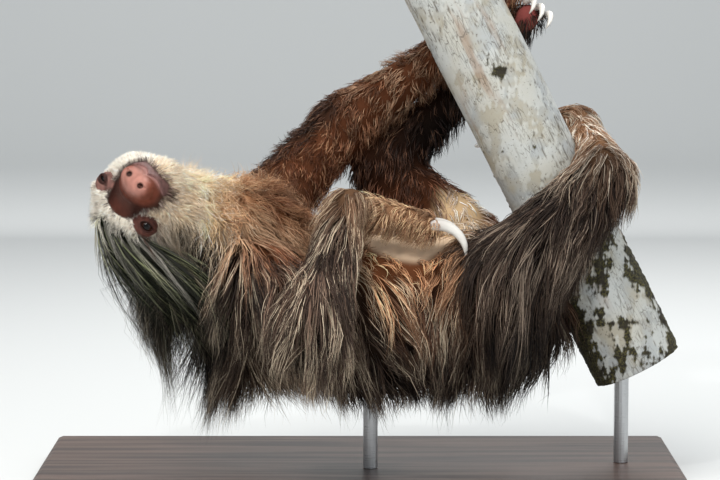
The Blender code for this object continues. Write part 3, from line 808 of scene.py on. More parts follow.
def skin_tint(places):
    """Colour of the skin: under-fur where the coat grows, bare skin where it doesn't."""
    def blotched(colour, amount, size, base=1.0):
        return colour * (base + amount * drift_of(places, size))[:, None]

    weights = region_weights(places)
    local = in_head(places)
    right, forward, up = local.T
    beside = np.abs(right - NOSE_SHIFT)
    head = smooth(0.3, 0.7, part_of(weights, "head"))
    bare, nose, chin, eyes = (mask * head for mask in face_masks(places))

    spot = np.hypot((right - NOSE_SHIFT) / 0.0168, (up + 0.0215) / 0.0122)
    cheeks = smooth(0.004, 0.030, forward) * (1.0 - 0.7 * smooth(0.012, 0.024, beside))
    bridge = smooth(0.017, 0.004, np.abs(right - 0.002)) * smooth(-0.014, -0.004, up)
    warm = np.maximum(0.25 * cheeks, smooth(1.55, 0.90, spot) * smooth(0.0, 0.02, forward))
    muzzle = mix(MUZZLE_BROWN[None], MUZZLE_WARM, np.maximum(warm, 0.28 * bridge))
    jaw = CHIN_GREY * (0.35 + 0.65 * smooth(0.35, 0.95, bare)[:, None])
    lips = bell(up - mouth_height(right), 0.0014) * smooth(0.0, 0.010, forward) * bare
    patch = mix(BARE_BROWN[None] * 0.85, FAR_PATCH, smooth(-0.010, -0.020, right))

    # painted shade: under the coat the skin is darker than its under-fur, as the tufts' shade; the face's
    # skin is lighter again
    fur = tones_at(places, weights)[:, 0] * SKIN_PAINTED_SHADE
    tint = mix(fur, fur * FACE_LIGHTER, part_of(weights, "head") * (1.0 - crown_share(places)))
    for colour, share in (
        (blotched(BELLY_SKIN, 0.10, 0.012), belly_share(places) * part_of(weights, "trunk")),
        (blotched(muzzle, 0.12, 0.005), bare),
        (blotched(jaw, 0.15, 0.004, 0.85), chin * 0.9),
        (LIP_PINK, 0.55 * lips * smooth(0.022, 0.006, beside)),
        (blotched(NOSE_PINK, 0.14, 0.006), nose * (1.0 - chin)),
        (blotched(patch, 0.30, 0.005), eyes),
    ):
        tint = mix(tint, colour, share)
    for side in SIDES:
        # painted shade: each nostril's hole turns nearly black towards its middle
        away = local - point(NOSE_SHIFT + side * 0.0077, 0.0410, -0.0225)
        tint = mix(tint, BARE_BROWN * 0.14, 1.0 - smooth(0.0016, 0.0044, size_of(away)))
        away = local - point(side * EYE_SPACING, EYE_DEPTH, 0.0)
        look, wide, high = eye_axes(side)
        rim = smooth(0.0072, 0.0060, np.hypot(away @ wide * 0.95, away @ high * 1.35))
        tint = mix(tint, BARE_BROWN * 0.30, rim * smooth(0.0, 0.004, away @ look))
    soles = np.zeros(len(places))
    for knuckle in (KNUCKLE_L, TOE_L, TOE_R):
        away = places - knuckle
        inner = smooth(0.002, 0.006, -away[:, 1])
        soles = np.maximum(soles, smooth(0.030, 0.012, size_of(away)) * inner)
    return np.clip(mix(tint, SOLE_PINK, soles), 0.0, 1.0)


# ---------------------------------------------------------------- the stem and the stand

STEM_RINGS, STEM_SIDES = 380, 210
CAP_RINGS = 14
STEM_AXIS = unit(STEM_BOTTOM - STEM_TOP)
STEM_SIDE = unit(np.cross(STEM_AXIS, point(0.0, 1.0, 0.0)))
STEM_GRAIN = np.stack([STEM_SIDE, np.cross(STEM_AXIS, STEM_SIDE), STEM_AXIS], axis=1)
STEM_TURN = Vector(STEM_BOTTOM - STEM_TOP).to_track_quat("Z", "Y").to_matrix()
STEM_ACROSS, STEM_OTHER = np.array(STEM_TURN.col[0]), np.array(STEM_TURN.col[1])
BEND = 0.0022 * STEM_ACROSS                # the axis bows out this far at its middle
MOSS_SPOT, MOSS_SPOT_SIZE = point(0.131, -0.012, 0.398), 0.0110


def moss_share(places, share):
    """1 under moss, 0 on clean bark; share runs from the stem's top to its foot."""
    rough = 0.85 * drift_of(places, 0.030, 2.0) + 0.55 * drift_of(places, 0.010, 4.0)
    rough = rough + 0.35 * drift_of(places, 0.0035, 6.0)
    edge = np.abs((places - STEM_TOP) @ STEM_SIDE) / STEM_RADIUS
    bias = mix(-1.55, 0.05, smooth(0.52, 0.72, share))
    bias = bias + 0.55 * smooth(0.75, 1.0, edge) * smooth(0.45, 0.65, share)
    away = places - MOSS_SPOT
    bias = bias + 2.7 * np.exp(-dot(away, away) / MOSS_SPOT_SIZE ** 2)
    return smooth(-0.06, 0.16, rough + bias)


def bark_growth(places, share):
    """Moss, crust and cracks of the bark, each from 0 to 1, and how far they raise it in metres."""
    moss = moss_share(places, share)
    crust = smooth(-0.05, 0.12, drift_of(places, 0.024, 8.0) + 0.4 * drift_of(places, 0.006, 9.0))
    stretched = (places - STEM_TOP) @ STEM_GRAIN * point(1.0, 1.0, 0.10)
    crack = np.abs(drift_of(stretched, 0.0042, 3.0) + 0.5 * drift_of(stretched, 0.0018, 5.0))
    crack = smooth(0.12, 0.0, crack) * smooth(-0.3, 0.4, drift_of(places, 0.045, 1.0)) * (1.0 - moss)
    cushion = 0.0007 + 0.0006 * drift_of(places, 0.0045, 7.0) + 0.0004 * drift_of(places, 0.0022, 2.5)
    return moss, crust, crack, 0.00035 * crust - 0.00055 * crack + moss * cushion


def make_stem(bark, sawn):
    """The stem: fissured, lichen-crusted bark with moss cushions, and two sawn ends."""
    share, angle = np.meshgrid(np.linspace(0, 1, STEM_RINGS + 1),
                               np.linspace(0, 2 * math.pi, STEM_SIDES, endpoint=False), indexing="ij")
    waves = 0.015 * np.sin(3 * angle + 4 * share) + 0.012 * np.sin(2 * angle - 9 * share)
    radius = STEM_RADIUS * (1.0 + waves + 0.020 * (share - 0.5))
    bow = BEND * np.sin(math.pi * share)[..., None]
    centre = STEM_TOP + (STEM_BOTTOM - STEM_TOP) * share[..., None] + bow
    outward = np.cos(angle)[..., None] * STEM_ACROSS + np.sin(angle)[..., None] * STEM_OTHER
    places = centre + outward * radius[..., None]
    moss, crust, crack, height = bark_growth(places, share)
    places = places + outward * height[..., None]

    inward = 1.0 - np.arange(1, CAP_RINGS)[:, None, None] / CAP_RINGS
    top, foot = (centre[end] + (places[end] - centre[end]) * inward for end in (0, -1))
    rings = np.concatenate([top[::-1], places, foot])
    count = len(rings)
    growth = np.zeros((count, STEM_SIDES, 3))
    growth[CAP_RINGS - 1:1 - CAP_RINGS] = np.stack([moss, crust, crack], axis=-1)
    vertices = np.concatenate([centre[0, :1], rings.reshape(-1, 3), centre[-1, :1]])
    last = len(vertices) - 1
    after = [(side + 1) % STEM_SIDES for side in range(STEM_SIDES)]
    fans = [(0, 1 + after[side], 1 + side) for side in range(STEM_SIDES)]
    fans += [(last - STEM_SIDES + side, last - STEM_SIDES + after[side], last) for side in range(STEM_SIDES)]
    mesh = closed_mesh("stem_bark", vertices, tube_faces(count, STEM_SIDES, 1) + fans)
    is_sawn = np.ones(len(mesh.polygons), int)
    is_sawn[(CAP_RINGS - 1) * STEM_SIDES:(count - CAP_RINGS) * STEM_SIDES] = 0
    mesh.polygons.foreach_set("material_index", is_sawn)
    paint_vertices(mesh, "growth", np.pad(growth.reshape(-1, 3), ((1, 1), (0, 0))))
    grain = (vertices - STEM_TOP) @ STEM_GRAIN
    mesh.attributes.new("grain", "FLOAT_VECTOR", "POINT").data.foreach_set("vector", grain.ravel())
    stem = add_object("stem_bark", mesh, bark, sawn)
    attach(stem, "root")
    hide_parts("perch_stem")


def bark_material():
    """Pale, smooth bark: grey and cream crusts, dark pits, lengthwise cracks and moss."""
    graph = Graph("bark", 0.85)
    grain = graph.attribute("grain", "Vector")
    moss, crust, crack = graph.node("SeparateColor", Color=graph.attribute("growth")).outputs[:3]
    long_grain = graph.scaled(grain, 1.0, 1.0, 0.16)
    cloud = graph.ramp(graph.noise(grain, 22.0, 5.0), 0.38, 0.62)
    stain = graph.ramp(graph.noise(long_grain, 46.0, 4.0), 0.56, 0.70)
    speck = graph.ramp(graph.noise(grain, 420.0, 3.0, 0.7), 0.60, 0.70)
    line = graph.math("MULTIPLY", graph.ramp(graph.edges(long_grain, 340.0), 0.06, 0.0),
                      graph.ramp(graph.noise(grain, 34.0, 2.0), 0.46, 0.58))
    tuft = graph.noise(grain, 520.0, 4.0, 0.7)
    old = graph.ramp(graph.noise(grain, 60.0, 3.0), 0.5, 0.7)
    green = graph.blend(graph.ramp(tuft, 0.42, 0.66), rgb(24, 20, 12), rgb(92, 86, 44))
    colour = graph.layers(
        graph.blend(cloud, rgb(172, 175, 174), rgb(168, 162, 146)),
        (crust, 0.55, rgb(198, 199, 193)), (stain, 0.62, rgb(150, 124, 102)), (speck, 0.70, rgb(74, 66, 52)),
        (line, 0.60, rgb(84, 76, 62)), (crack, 0.80, rgb(84, 74, 58)),
        (moss, 1.0, graph.blend(old, green, rgb(40, 34, 22))))
    height = graph.math("ADD", graph.math("SUBTRACT", graph.noise(grain, 260.0, 5.0, 0.65), line),
                        graph.math("MULTIPLY", tuft, moss))
    graph.set(Base_Color=colour)
    graph.bump(height, 0.55, 0.0007)
    return graph.material


def sawn_material():
    """The sawn ends: growth rings round a pith, with fine radial checks."""
    graph = Graph("sawn_wood", 0.75)
    grain = graph.scaled(graph.attribute("grain", "Vector"), 1.0, 1.0, 0.02)
    rings = graph.node("TexWave", options={"wave_type": "RINGS", "rings_direction": "Z"}, Vector=grain,
                       Scale=95.0, Distortion=1.6, Detail=2.0, Detail_Scale=1.2)
    line = graph.ramp(rings.outputs["Fac"], 0.35, 0.95)
    check = graph.ramp(graph.noise(grain, 900.0, 3.0), 0.60, 0.72)
    wood = graph.blend(line, rgb(186, 166, 134), rgb(142, 114, 82))
    graph.set(Base_Color=graph.layers(wood, (check, 0.5, rgb(110, 82, 54))))
    graph.bump(graph.math("ADD", line, graph.noise(grain, 700.0)), 0.3, 0.0004)
    return graph.material


def board_material():
    """Dark stained oak: long grain with open pores under a satin varnish."""
    graph = Graph("stand_wood", 0.42, Coat_Weight=0.25, Coat_Roughness=0.25)
    here = graph.here()
    warp = graph.noise(graph.scaled(here, 1.5, 9.0, 9.0), 1.0, 2.0)
    bent = graph.node("VectorMath", graph.scaled(here, 2.2, 42.0, 42.0), warp).outputs[0]
    figure = graph.noise(bent, 1.6, 6.0, 0.6)
    pores = graph.ramp(graph.noise(graph.scaled(here, 40.0, 1400.0, 1400.0), 1.0, 2.0), 0.62, 0.72)
    wood = graph.blend(graph.ramp(figure, 0.36, 0.66), rgb(84, 54, 36), rgb(46, 28, 19))
    graph.set(Base_Color=graph.layers(wood, (pores, 0.6, rgb(24, 15, 10))),
              Roughness=graph.ramp(figure, 0.3, 0.7, 0.36, 0.50))
    graph.bump(graph.math("SUBTRACT", figure, pores), 0.25, 0.0004)
    return graph.material


def steel_material():
    """Brushed stainless steel, its fine scratches running round the rod."""
    graph = Graph("stand_steel", 0.34, Metallic=1.0)
    scratch = graph.noise(graph.scaled(graph.here(), 60.0, 60.0, 2600.0), 1.0, 3.0)
    graph.set(Base_Color=graph.blend(scratch, rgb(168, 170, 172), rgb(198, 199, 200)),
              Roughness=graph.ramp(scratch, 0.3, 0.7, 0.27, 0.42))
    graph.bump(scratch, 0.15, 0.0002)
    return graph.material


def paint_node(name, material):
    """A CAD node that is shown as it is gets a material."""
    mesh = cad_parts[name].data
    mesh.materials.clear()
    mesh.materials.append(material)


# ---------------------------------------------------------------- eyes and claws

PUPIL = 0.0026
IRIS = 0.0060
EYE_STOPS = [0.0, PUPIL, PUPIL * 1.2, IRIS * 0.85, IRIS, IRIS * 1.15]   # from the middle of the iris
EYE_COLOURS = np.array([rgb(8, 5, 5), rgb(10, 6, 5), rgb(38, 20, 15), rgb(56, 30, 20), rgb(22, 12, 10),
                        rgb(40, 26, 23)])
EYE_GAP = 0.0001                           # the ball is this much smaller than the CAD's eye
BALL_SEGMENTS, BALL_RINGS = 48, 32


def ball_mesh(name, centre, radius, look):
    """A sphere whose pole points where the eye looks, so that its rings follow the iris."""
    builder = bmesh.new()
    bmesh.ops.create_uvsphere(builder, u_segments=BALL_SEGMENTS, v_segments=BALL_RINGS, radius=radius)
    turn = Vector(look).to_track_quat("Z", "Y").to_matrix().to_4x4()
    bmesh.ops.transform(builder, matrix=Matrix.Translation(Vector(centre)) @ turn, verts=builder.verts)
    mesh = bpy.data.meshes.new(name)
    builder.to_mesh(mesh)
    builder.free()
    mesh.shade_smooth()
    return mesh


def make_eyes(material):
    for side, name in zip(SIDES, ("eye_right", "eye_left")):
        look, _, _ = eye_axes(side)
        ahead = head_place(*look) - HEAD
        centre = head_place(side * EYE_SPACING, EYE_DEPTH, 0.0)
        mesh = ball_mesh(f"{name}_ball", centre, EYE_RADIUS - EYE_GAP, ahead)
        away = vertex_places(mesh) - centre
        front = away @ ahead
        across = np.sqrt(np.maximum(dot(away, away) - front ** 2, 0.0))
        across = np.where(front > 0, across, EYE_RADIUS * 2)
        tint = [np.interp(across, EYE_STOPS, channel) for channel in EYE_COLOURS.T]
        paint_vertices(mesh, "tint", np.stack(tint, axis=1))
        ball = add_object(f"{name}_ball", mesh, material)
        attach(ball, "root")
        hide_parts(name)


# Each set of claws: node name, how many, middle of their roots, way out, way it hooks, step to the next,
# radius of the hook, degrees of the hook, half the thickness at the root.
FAR_OUT, FAR_HOOK = (0.66, -0.47, 0.58), (-0.06, -0.81, -0.59)
CLAWS = [
    ("claw_hand_right", 2, KNUCKLE_R, (0.927, 0.0, 0.375), (0.375, 0.0, -0.927), (-0.0015, 0.0125, 0.0008),
     0.0261, 122.0, 0.0052),
    ("claw_hand_left", 2, KNUCKLE_L + point(0.0065, -0.0020, 0.0085), FAR_OUT, FAR_HOOK,
     (0.0090, 0.0, -0.0080), 0.0160, 150.0, 0.0045),
    ("claw_foot_left", 3, TOE_L + point(0.0053, -0.0020, 0.0068), FAR_OUT, FAR_HOOK,
     (0.0080, 0.0, -0.0073), 0.0130, 150.0, 0.0038),
    ("claw_foot_right", 3, TOE_R + point(-0.0105, 0.0, 0.0), (-1.0, 0.0, -0.10), (0.0, -1.0, 0.0),
     (0.0008, 0.0, 0.0105), 0.0195, 118.0, 0.0040),
]
CLAW_RINGS, CLAW_SIDES = 40, 20
CLAW_WIDTH = 0.72                          # across, as a share of its thickness
CLAW_UNDER = 0.88                          # the underside is flatter than the top
CLAW_TIP = 0.0004                          # added to the half thickness all along


def claw_mesh(name, root, out, inward, hook, turn, root_half):
    """A claw that hooks round a circle, thick at its root, narrower across, with faint rings."""
    out = unit(out)
    inward = unit(inward - out * dot(np.array(inward), out))
    share = np.linspace(0, 1, CLAW_RINGS)[:, None]
    angle = math.radians(turn) * share
    centre = root + hook * (np.sin(angle) * out + (1 - np.cos(angle)) * inward)
    radial = np.sin(angle) * out - np.cos(angle) * inward
    half = (root_half * (1 - share ** 2.6) ** 0.9 + CLAW_TIP) * (1.0 + 0.012 * np.sin(34.0 * share))
    around = 2 * math.pi * np.arange(CLAW_SIDES)[:, None] / CLAW_SIDES
    reach = np.cos(around) * np.where(np.cos(around) > 0, 1.0, CLAW_UNDER)
    offset = reach * radial[:, None] + CLAW_WIDTH * np.sin(around) * np.cross(out, inward)
    places = (centre[:, None] + half[..., None] * offset).reshape(-1, 3)
    faces = tube_faces(CLAW_RINGS, CLAW_SIDES)
    faces += [range(CLAW_SIDES)[::-1], range(len(places) - CLAW_SIDES, len(places))]
    mesh = closed_mesh(name, places, faces)
    share = np.repeat(share[:, 0], CLAW_SIDES)
    horn = mix(rgb(196, 190, 184)[None], rgb(226, 222, 214), smooth(0.1, 0.5, share))
    horn = mix(horn, rgb(150, 142, 134), 0.7 * smooth(0.70, 1.0, share))
    horn = mix(horn, rgb(150, 122, 104), 0.6 * (1.0 - smooth(0.02, 0.14, share)))
    paint_vertices(mesh, "tint", horn)
    return mesh


def make_claws(material):
    for name, count, root, out, inward, spread, *shape in CLAWS:
        for number in range(count):
            node = f"{name}_{number + 1}"
            start = root + (number - (count - 1) / 2) * np.array(spread)
            claw = add_object(f"{node}_horn", claw_mesh(f"{node}_horn", start, out, inward, *shape), material)
            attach(claw, "root")
            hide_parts(node)


# ---------------------------------------------------------------- the coat

DOWN = point(0.0, 0.0, -1.0)
RUMPWARDS = point(1.0, 0.0, 0.0)
THIGH_PULL = unit(point(-0.34, 0.0, -0.94))
CROWN_FLOW = unit(point(0.78, 0.12, -0.62))
CROWN_PULL = unit(point(0.60, 0.03, -0.80))
HEM_HEIGHT = 0.074                         # the coat's lower edge
KNEE_LIMIT = 0.2590                        # the knee's hair hangs close: beyond this it is pulled in
STEM_CLEARANCE = 0.0012                    # hair stays this far off the stem
GUIDE_DEPTH, ROOT_DEPTH = 0.0010, 0.0012   # guides and strands start this far inside the skin
GUIDE_CLEARANCE, STRAND_CLEARANCE = 0.0008, 0.0005
STRAY, JITTER, WAVE = 0.0016, 0.0003, 0.0014   # metres that a strand strays, shakes and waves
GUIDE_STEPS = 9
LOCK_SIZE = 9                              # guides that run together into one lock
LOCK_FAR, LOCK_NEAR = 0.022, 0.010         # they don't at the first distance, and fully do at the second
DARK_SHARE, PALE_SHARE = 0.50, 0.18        # of the strands
KIND_SPREAD = 0.16                         # how far guides and locks lean to dark or pale strands
LOCK_SHADES = (0.66, 1.30)
SQUARE_METRE = 1e4                         # in square centimetres
TUFT_SIDES = 3
PATCH, PATCH_SIDE = 0.003, 0.33            # size of a tuft's place in the map, and each side's share of it
PIECE_LIMIT = 190000                       # triangles in one piece
MAP_REGIONS = [*REGIONS, "crown"]          # the crown's long hair makes a piece of its own
HEAD_REGION, CROWN_REGION = MAP_REGIONS.index("head"), MAP_REGIONS.index("crown")

# Each region's coat. along: how much the hair follows the bone, from its start to its end;
# lift: how steeply it leaves the skin; length in metres; fall: how soon it hangs; puff: how far it stands
# off the skin; density: tufts per square centimetre; bundle: tufts that join at their tips; width: half a
# tuft's thickness; curl: how much it waves; clump: how far neighbouring bundles run together; drift: the
# world direction that is added.
COAT_COLUMNS = ("along", "lift", "length", "fall", "puff", "density", "bundle", "width", "curl", "clump",
                "drift")
COAT_ROWS = {
    "head": (         0.00,  0.12, 0.013, 0.02, 0.0014, 150.0, 5, 0.00013, 0.35, 0.00, (0.0, 0.0, 0.0)),
    "neck": (         0.70,  0.34, 0.027, 0.09, 0.0055, 31.0,  6, 0.00020, 3.00, 0.12, (0.35, -0.1, -0.65)),
    "trunk": (        0.00,  0.15, 0.068, 0.26, 0.0060, 9.4,   7, 0.00033, 1.90, 0.70, (0.4, 0.0, -1.0)),
    "arm_right": (    0.25,  0.25, 0.072, 0.34, 0.0050, 15.0,  7, 0.00033, 1.90, 0.70, (0.25, 0.0, -1.0)),
    "forearm_right": (-0.90, 0.20, 0.078, 0.36, 0.0045, 18.0,  7, 0.00034, 1.80, 0.75, (0.0, 0.0, -0.7)),
    "hand_right": (   -0.45, 0.16, 0.017, 0.14, 0.0022, 44.0,  5, 0.00022, 0.80, 0.35, (-0.2, 0.0, -0.7)),
    "arm_left": (     -0.35, 0.10, 0.014, 0.06, 0.0012, 15.0,  5, 0.00030, 1.40, 0.30, (0.1, 0.0, -0.5)),
    "forearm_left": ( -0.75, 0.09, 0.016, 0.10, 0.0012, 14.0,  6, 0.00032, 1.20, 0.40, (0.0, 0.0, -0.6)),
    "hand_left": (    -0.80, 0.20, 0.022, 0.12, 0.0030, 14.0,  6, 0.00030, 0.80, 0.40, (0.0, 0.0, -0.3)),
    "thigh_right": (  0.05,  0.20, 0.090, 0.40, 0.0050, 17.0,  7, 0.00030, 1.80, 0.75, (-0.4, 0.0, -1.0)),
    "shank_right": (  -0.50, 0.08, 0.046, 0.55, 0.0022, 16.5,  7, 0.00030, 1.50, 0.65, (0.05, 0.0, -0.9)),
    "foot_right": (   -0.80, 0.16, 0.028, 0.30, 0.0028, 22.0,  6, 0.00030, 0.80, 0.40, (0.0, 0.0, -0.4)),
    "thigh_left": (   0.10,  0.10, 0.026, 0.22, 0.0016, 9.0,   6, 0.00034, 1.40, 0.45, (0.1, 0.0, -1.0)),
    "shank_left": (   -0.50, 0.10, 0.022, 0.26, 0.0014, 9.0,   6, 0.00034, 1.30, 0.45, (0.0, 0.0, -0.8)),
    "foot_left": (    -0.80, 0.18, 0.022, 0.20, 0.0028, 13.0,  6, 0.00030, 0.80, 0.40, (0.0, 0.0, -0.4)),
}
COAT = {region: dict(zip(COAT_COLUMNS, row)) for region, row in COAT_ROWS.items()}

# Which regions make up each piece of the coat, and the points along one of its tufts.
PIECES = {
    "coat_face": (("head",), 3),
    "coat_crown": (("crown",), 6),
    "coat_neck": (("neck",), 5),
    "coat_trunk": (("trunk",), 6),
    "coat_arm_right": (("arm_right", "forearm_right"), 6),
    "coat_hand_right": (("hand_right",), 5),
    "coat_arm_left": (("arm_left", "forearm_left", "hand_left"), 4),
    "coat_leg_right": (("thigh_right",), 6),
    "coat_shank_right": (("shank_right", "foot_right"), 6),
    "coat_leg_left": (("thigh_left", "shank_left", "foot_left"), 4),
}


def region_value(name, weights):
    """A coat value blended from the regions' own."""
    return weights @ np.array([COAT[region][name] for region in REGIONS], float)


def ends_of(region):
    """Where a region's bones start and end; the head, which has none, runs from muzzle to nape."""
    bones = [bone for bone in BONES if bone[0] == region]
    return (bones[0][1], bones[-1][2]) if bones else (head_place(0, 0.03, 0), head_place(0, -0.07, 0))


def drift_vectors(places, size, *seeds):
    """Three drifts as one vector."""
    return np.stack([drift_of(places, size, seed) for seed in seeds], axis=1)


def fur_share(places):
    """1 where hair grows, 0 on bare skin."""
    bare, _, _, eyes = face_masks(places)
    share = (1.0 - smooth(0.70, 0.98, bare)) * (1.0 - smooth(0.50, 0.88, eyes))
    return share * (1.0 - smooth(0.2, 0.6, belly_share(places)))


def nape_share(places, weights):
    """1 on the neck's underside and the chest's end, where the long dark mane starts."""
    return part_of(weights, "neck", "trunk") * dark_line(places) * smooth(-0.085, -0.120, places[:, 0])


def far_side(places, weights):
    """1 on the body's far side, whose tufts are thicker and fewer."""
    return smooth(0.0, 0.05, places[:, 1]) * part_of(weights, "trunk", "neck")


def tuft_density(places):
    """Guide lines per square metre."""
    weights = region_weights(places)
    value = region_value("density", weights) / region_value("bundle", weights) * SQUARE_METRE * DETAIL
    crown = part_of(weights, "head") * crown_share(places)
    value = value * (1.0 - 0.48 * crown) * (1.0 + 0.5 * nape_share(places, weights))
    return value * (1.0 - 0.45 * far_side(places, weights)) * fur_share(places)


def hair_length(places, weights):
    """Length of the hair that grows at each place."""
    x, _, z = places.T
    trunk = part_of(weights, "trunk")
    bare, _, _, eyes = face_masks(places)
    face = 0.0045 + 0.20 * np.clip(-in_head(places)[:, 1] - 0.004, 0.0, 0.05)
    face = face * (1.0 - 0.55 * smooth(0.0, 0.5, np.maximum(bare, eyes)))
    face = face + 0.008 * smooth(-0.195, -0.150, x + 0.4 * (z - 0.28))
    crown = 0.140 + 0.100 * smooth(0.0, 0.040, 0.262 - z)
    head = mix(face, crown, smooth(0.50, 0.95, crown_share(places)))
    length = mix(region_value("length", weights), head, part_of(weights, "head"))
    length = length + nape_share(places, weights) * 0.120
    length = length * (1.0 - 0.55 * trunk * smooth(0.205, 0.235, z))
    near_belly = bell(np.hypot(*belly_offset(places).T) - 1.0, 0.35) * (z > 0.20)
    length = length * (1.0 - 0.55 * near_belly * trunk)
    length = length * (1.0 - 0.50 * part_of(weights, "thigh_right") * smooth(0.165, 0.235, x))
    wisps = smooth(0.0, 0.6, drift_of(places, 0.010, 6.0)) * ridge_share(places)
    length = length + 0.012 * part_of(weights, "arm_left", "forearm_left") * wisps
    length = length * (1.0 + 0.22 * drift_of(places, 0.016, 5.0))
    room = 0.010 + 1.05 * np.maximum(z - HEM_HEIGHT, 0.0)
    return np.minimum(length, room * (1.0 + 0.10 * drift_of(places, 0.012, 2.0)))


def start_directions(places, normals, weights):
    """Unit directions in which the hair leaves the skin."""
    x, _, z = places.T
    trunk = part_of(weights, "trunk")
    flow = np.zeros_like(places)
    for number, region in enumerate(REGIONS):
        start, end = ends_of(region)
        way = COAT[region]["along"] * unit(end - start) + np.array(COAT[region]["drift"])
        flow += weights[:, number, None] * way
    face = mix(unit(places - head_place(0.003, 0.020, -0.020)), CROWN_FLOW, crown_share(places))
    face = face + smooth(-0.200, -0.150, x)[:, None] * point(0.9, 0.0, -0.25)
    flow = flow + part_of(weights, "head")[:, None] * face
    flow = flow + (trunk * mix(0.30, -0.75, smooth(0.0, 0.165, x)))[:, None] * RUMPWARDS
    flow = mix(flow, DOWN - 0.10 * RUMPWARDS, nape_share(places, weights))
    flow = flow + 0.22 * drift_vectors(places, 0.030, 1.0, 2.0, 3.0)
    chest = trunk * smooth(-0.03, -0.07, x) * smooth(0.19, 0.22, z)
    tousle = 0.07 + 0.22 * np.maximum(part_of(weights, "neck"), chest)
    flow = flow + random.normal(size=flow.shape) * tousle[:, None]
    flow = unit(flow - normals * dot(flow, normals)[:, None])
    lift = region_value("lift", weights) * random.uniform(0.6, 1.4, len(places))
    return unit(flow + normals * lift[:, None])


def keep_out(places, clearance):
    """Pushes places out of the skin to a clearance, and off the stem."""
    push_out(skin_field, places, clearance)
    push_out(stem_field, places, STEM_CLEARANCE)
    return places


def keep_lines_out(lines, first, clearance):
    """Does the same to each line's points, from number first on."""
    places = keep_out(lines[:, first:].reshape(-1, 3), clearance)
    lines[:, first:] = places.reshape(len(lines), -1, 3)


def mane_edge(height):
    """How far left the mane reaches at a height: it slants in below the head."""
    return np.clip(-0.264 + 0.72 * (0.240 - height), -0.32, -0.180)


def grow(guides):
    """Guide lines that start at the roots, bend down and stay outside skin and stem."""
    path = np.empty((len(guides.roots), GUIDE_STEPS + 1, 3))
    path[:, 0] = guides.roots - GUIDE_DEPTH * guides.normals
    place, heading = guides.roots, guides.directions
    for step in range(1, GUIDE_STEPS + 1):
        share = step / GUIDE_STEPS
        wander = drift_vectors(place, 0.022, 4.0, 5.0, 6.0) * (0.10 * guides.curl)[:, None]
        bent = guides.pull * (guides.fall * (0.35 + 1.3 * share))[:, None]
        heading = unit(heading + bent + wander)
        clearance = guides.puff * math.sin(math.pi * min(share * 1.2, 1.0)) * 0.9 + GUIDE_CLEARANCE
        goal = keep_out(place + heading * (guides.length / GUIDE_STEPS)[:, None], clearance)
        goal[:, 0] -= 0.55 * np.maximum(goal[:, 0] - KNEE_LIMIT, 0.0)
        goal[:, 0] += 0.85 * np.maximum(mane_edge(goal[:, 2]) - goal[:, 0], 0.0)
        heading = unit(0.6 * unit(goal - place) + 0.4 * heading)
        path[:, step] = place = goal
    return path


def gather_locks(paths, strength):
    """Neighbouring guides run together towards one of them, as damp fur does. Also says each guide's lock."""
    count = len(paths)
    leaders = random.choice(count, max(1, count // LOCK_SIZE), replace=False)
    tree = KDTree(len(leaders))
    for number, leader in enumerate(leaders):
        tree.insert(Vector(paths[leader, 3]), number)
    tree.balance()
    found = [tree.find(Vector(place))[1:] for place in paths[:, 3]]
    lock, away = np.array([number for number, _ in found]), np.array([distance for _, distance in found])
    pull = smooth(LOCK_FAR, LOCK_NEAR, away) * strength * random.uniform(0.55, 1.0, len(leaders))[lock]
    share = pull[:, None] * np.linspace(0.0, 1.0, paths.shape[1]) ** 1.4
    return mix(paths, paths[leaders[lock]], share), lock


def sample_skin(mesh, density):
    """Even random places on the skin, with normals; density is per square metre at each place."""
    mesh.calc_loop_triangles()
    corners = np.empty(len(mesh.loop_triangles) * 3, int)
    mesh.loop_triangles.foreach_get("vertices", corners)
    a, b, c = vertex_places(mesh)[corners.reshape(-1, 3).T]
    cross = np.cross(b - a, c - a)
    total = np.cumsum(0.5 * np.linalg.norm(cross, axis=1) * density((a + b + c) / 3.0))
    chosen = np.searchsorted(total, np.arange(random.uniform(), total[-1], 1.0))
    u = np.sqrt(random.uniform(size=len(chosen)))[:, None]
    v = random.uniform(size=len(chosen))[:, None]
    return a[chosen] * (1 - u) + b[chosen] * (u * (1 - v)) + c[chosen] * (u * v), unit(cross[chosen])


def resample(path, share):
    """Points of each line at shares of its length, lines x points x 3."""
    steps = path.shape[1] - 1
    at = np.clip(share, 0.0, 1.0) * steps
    low = np.minimum(at.astype(int), steps - 1)
    rows = np.arange(len(path))[:, None]
    return mix(path[rows, low], path[rows, low + 1], at - low)


def frames_along(paths, reference):
    """Two unit vectors across each point of each path."""
    padded = np.concatenate([paths[:, :1], paths, paths[:, -1:]], axis=1)
    ahead = unit(padded[:, 2:] - padded[:, :-2])
    side = unit(reference[:, None] - ahead * dot(ahead, reference[:, None])[..., None])
    return side, np.cross(ahead, side)


def tuft_pattern(points):
    """One tuft's faces, and each face corner's place in its patch of the map: its length runs up."""
    rings = points - 1
    last = (rings - 1) * TUFT_SIDES
    faces = tube_faces(rings, TUFT_SIDES)
    faces += [(last + k, last + (k + 1) % TUFT_SIDES, rings * TUFT_SIDES) for k in range(TUFT_SIDES)]
    faces.append(range(TUFT_SIDES)[::-1])
    places = []
    for ring in range(rings):
        for u in PATCH_SIDE * np.arange(TUFT_SIDES):
            v, top = ring / points, (ring + 1) / points
            upper = [(u + PATCH_SIDE, top), (u, top)] if ring < rings - 1 else [(u + PATCH_SIDE / 2, 0.99)]
            places += [(u, v), (u + PATCH_SIDE, v), *upper]
    places += [(0.1, 0.0), (0.5, 0.0), (0.3, 0.05)]
    return faces, np.array(places) * PATCH


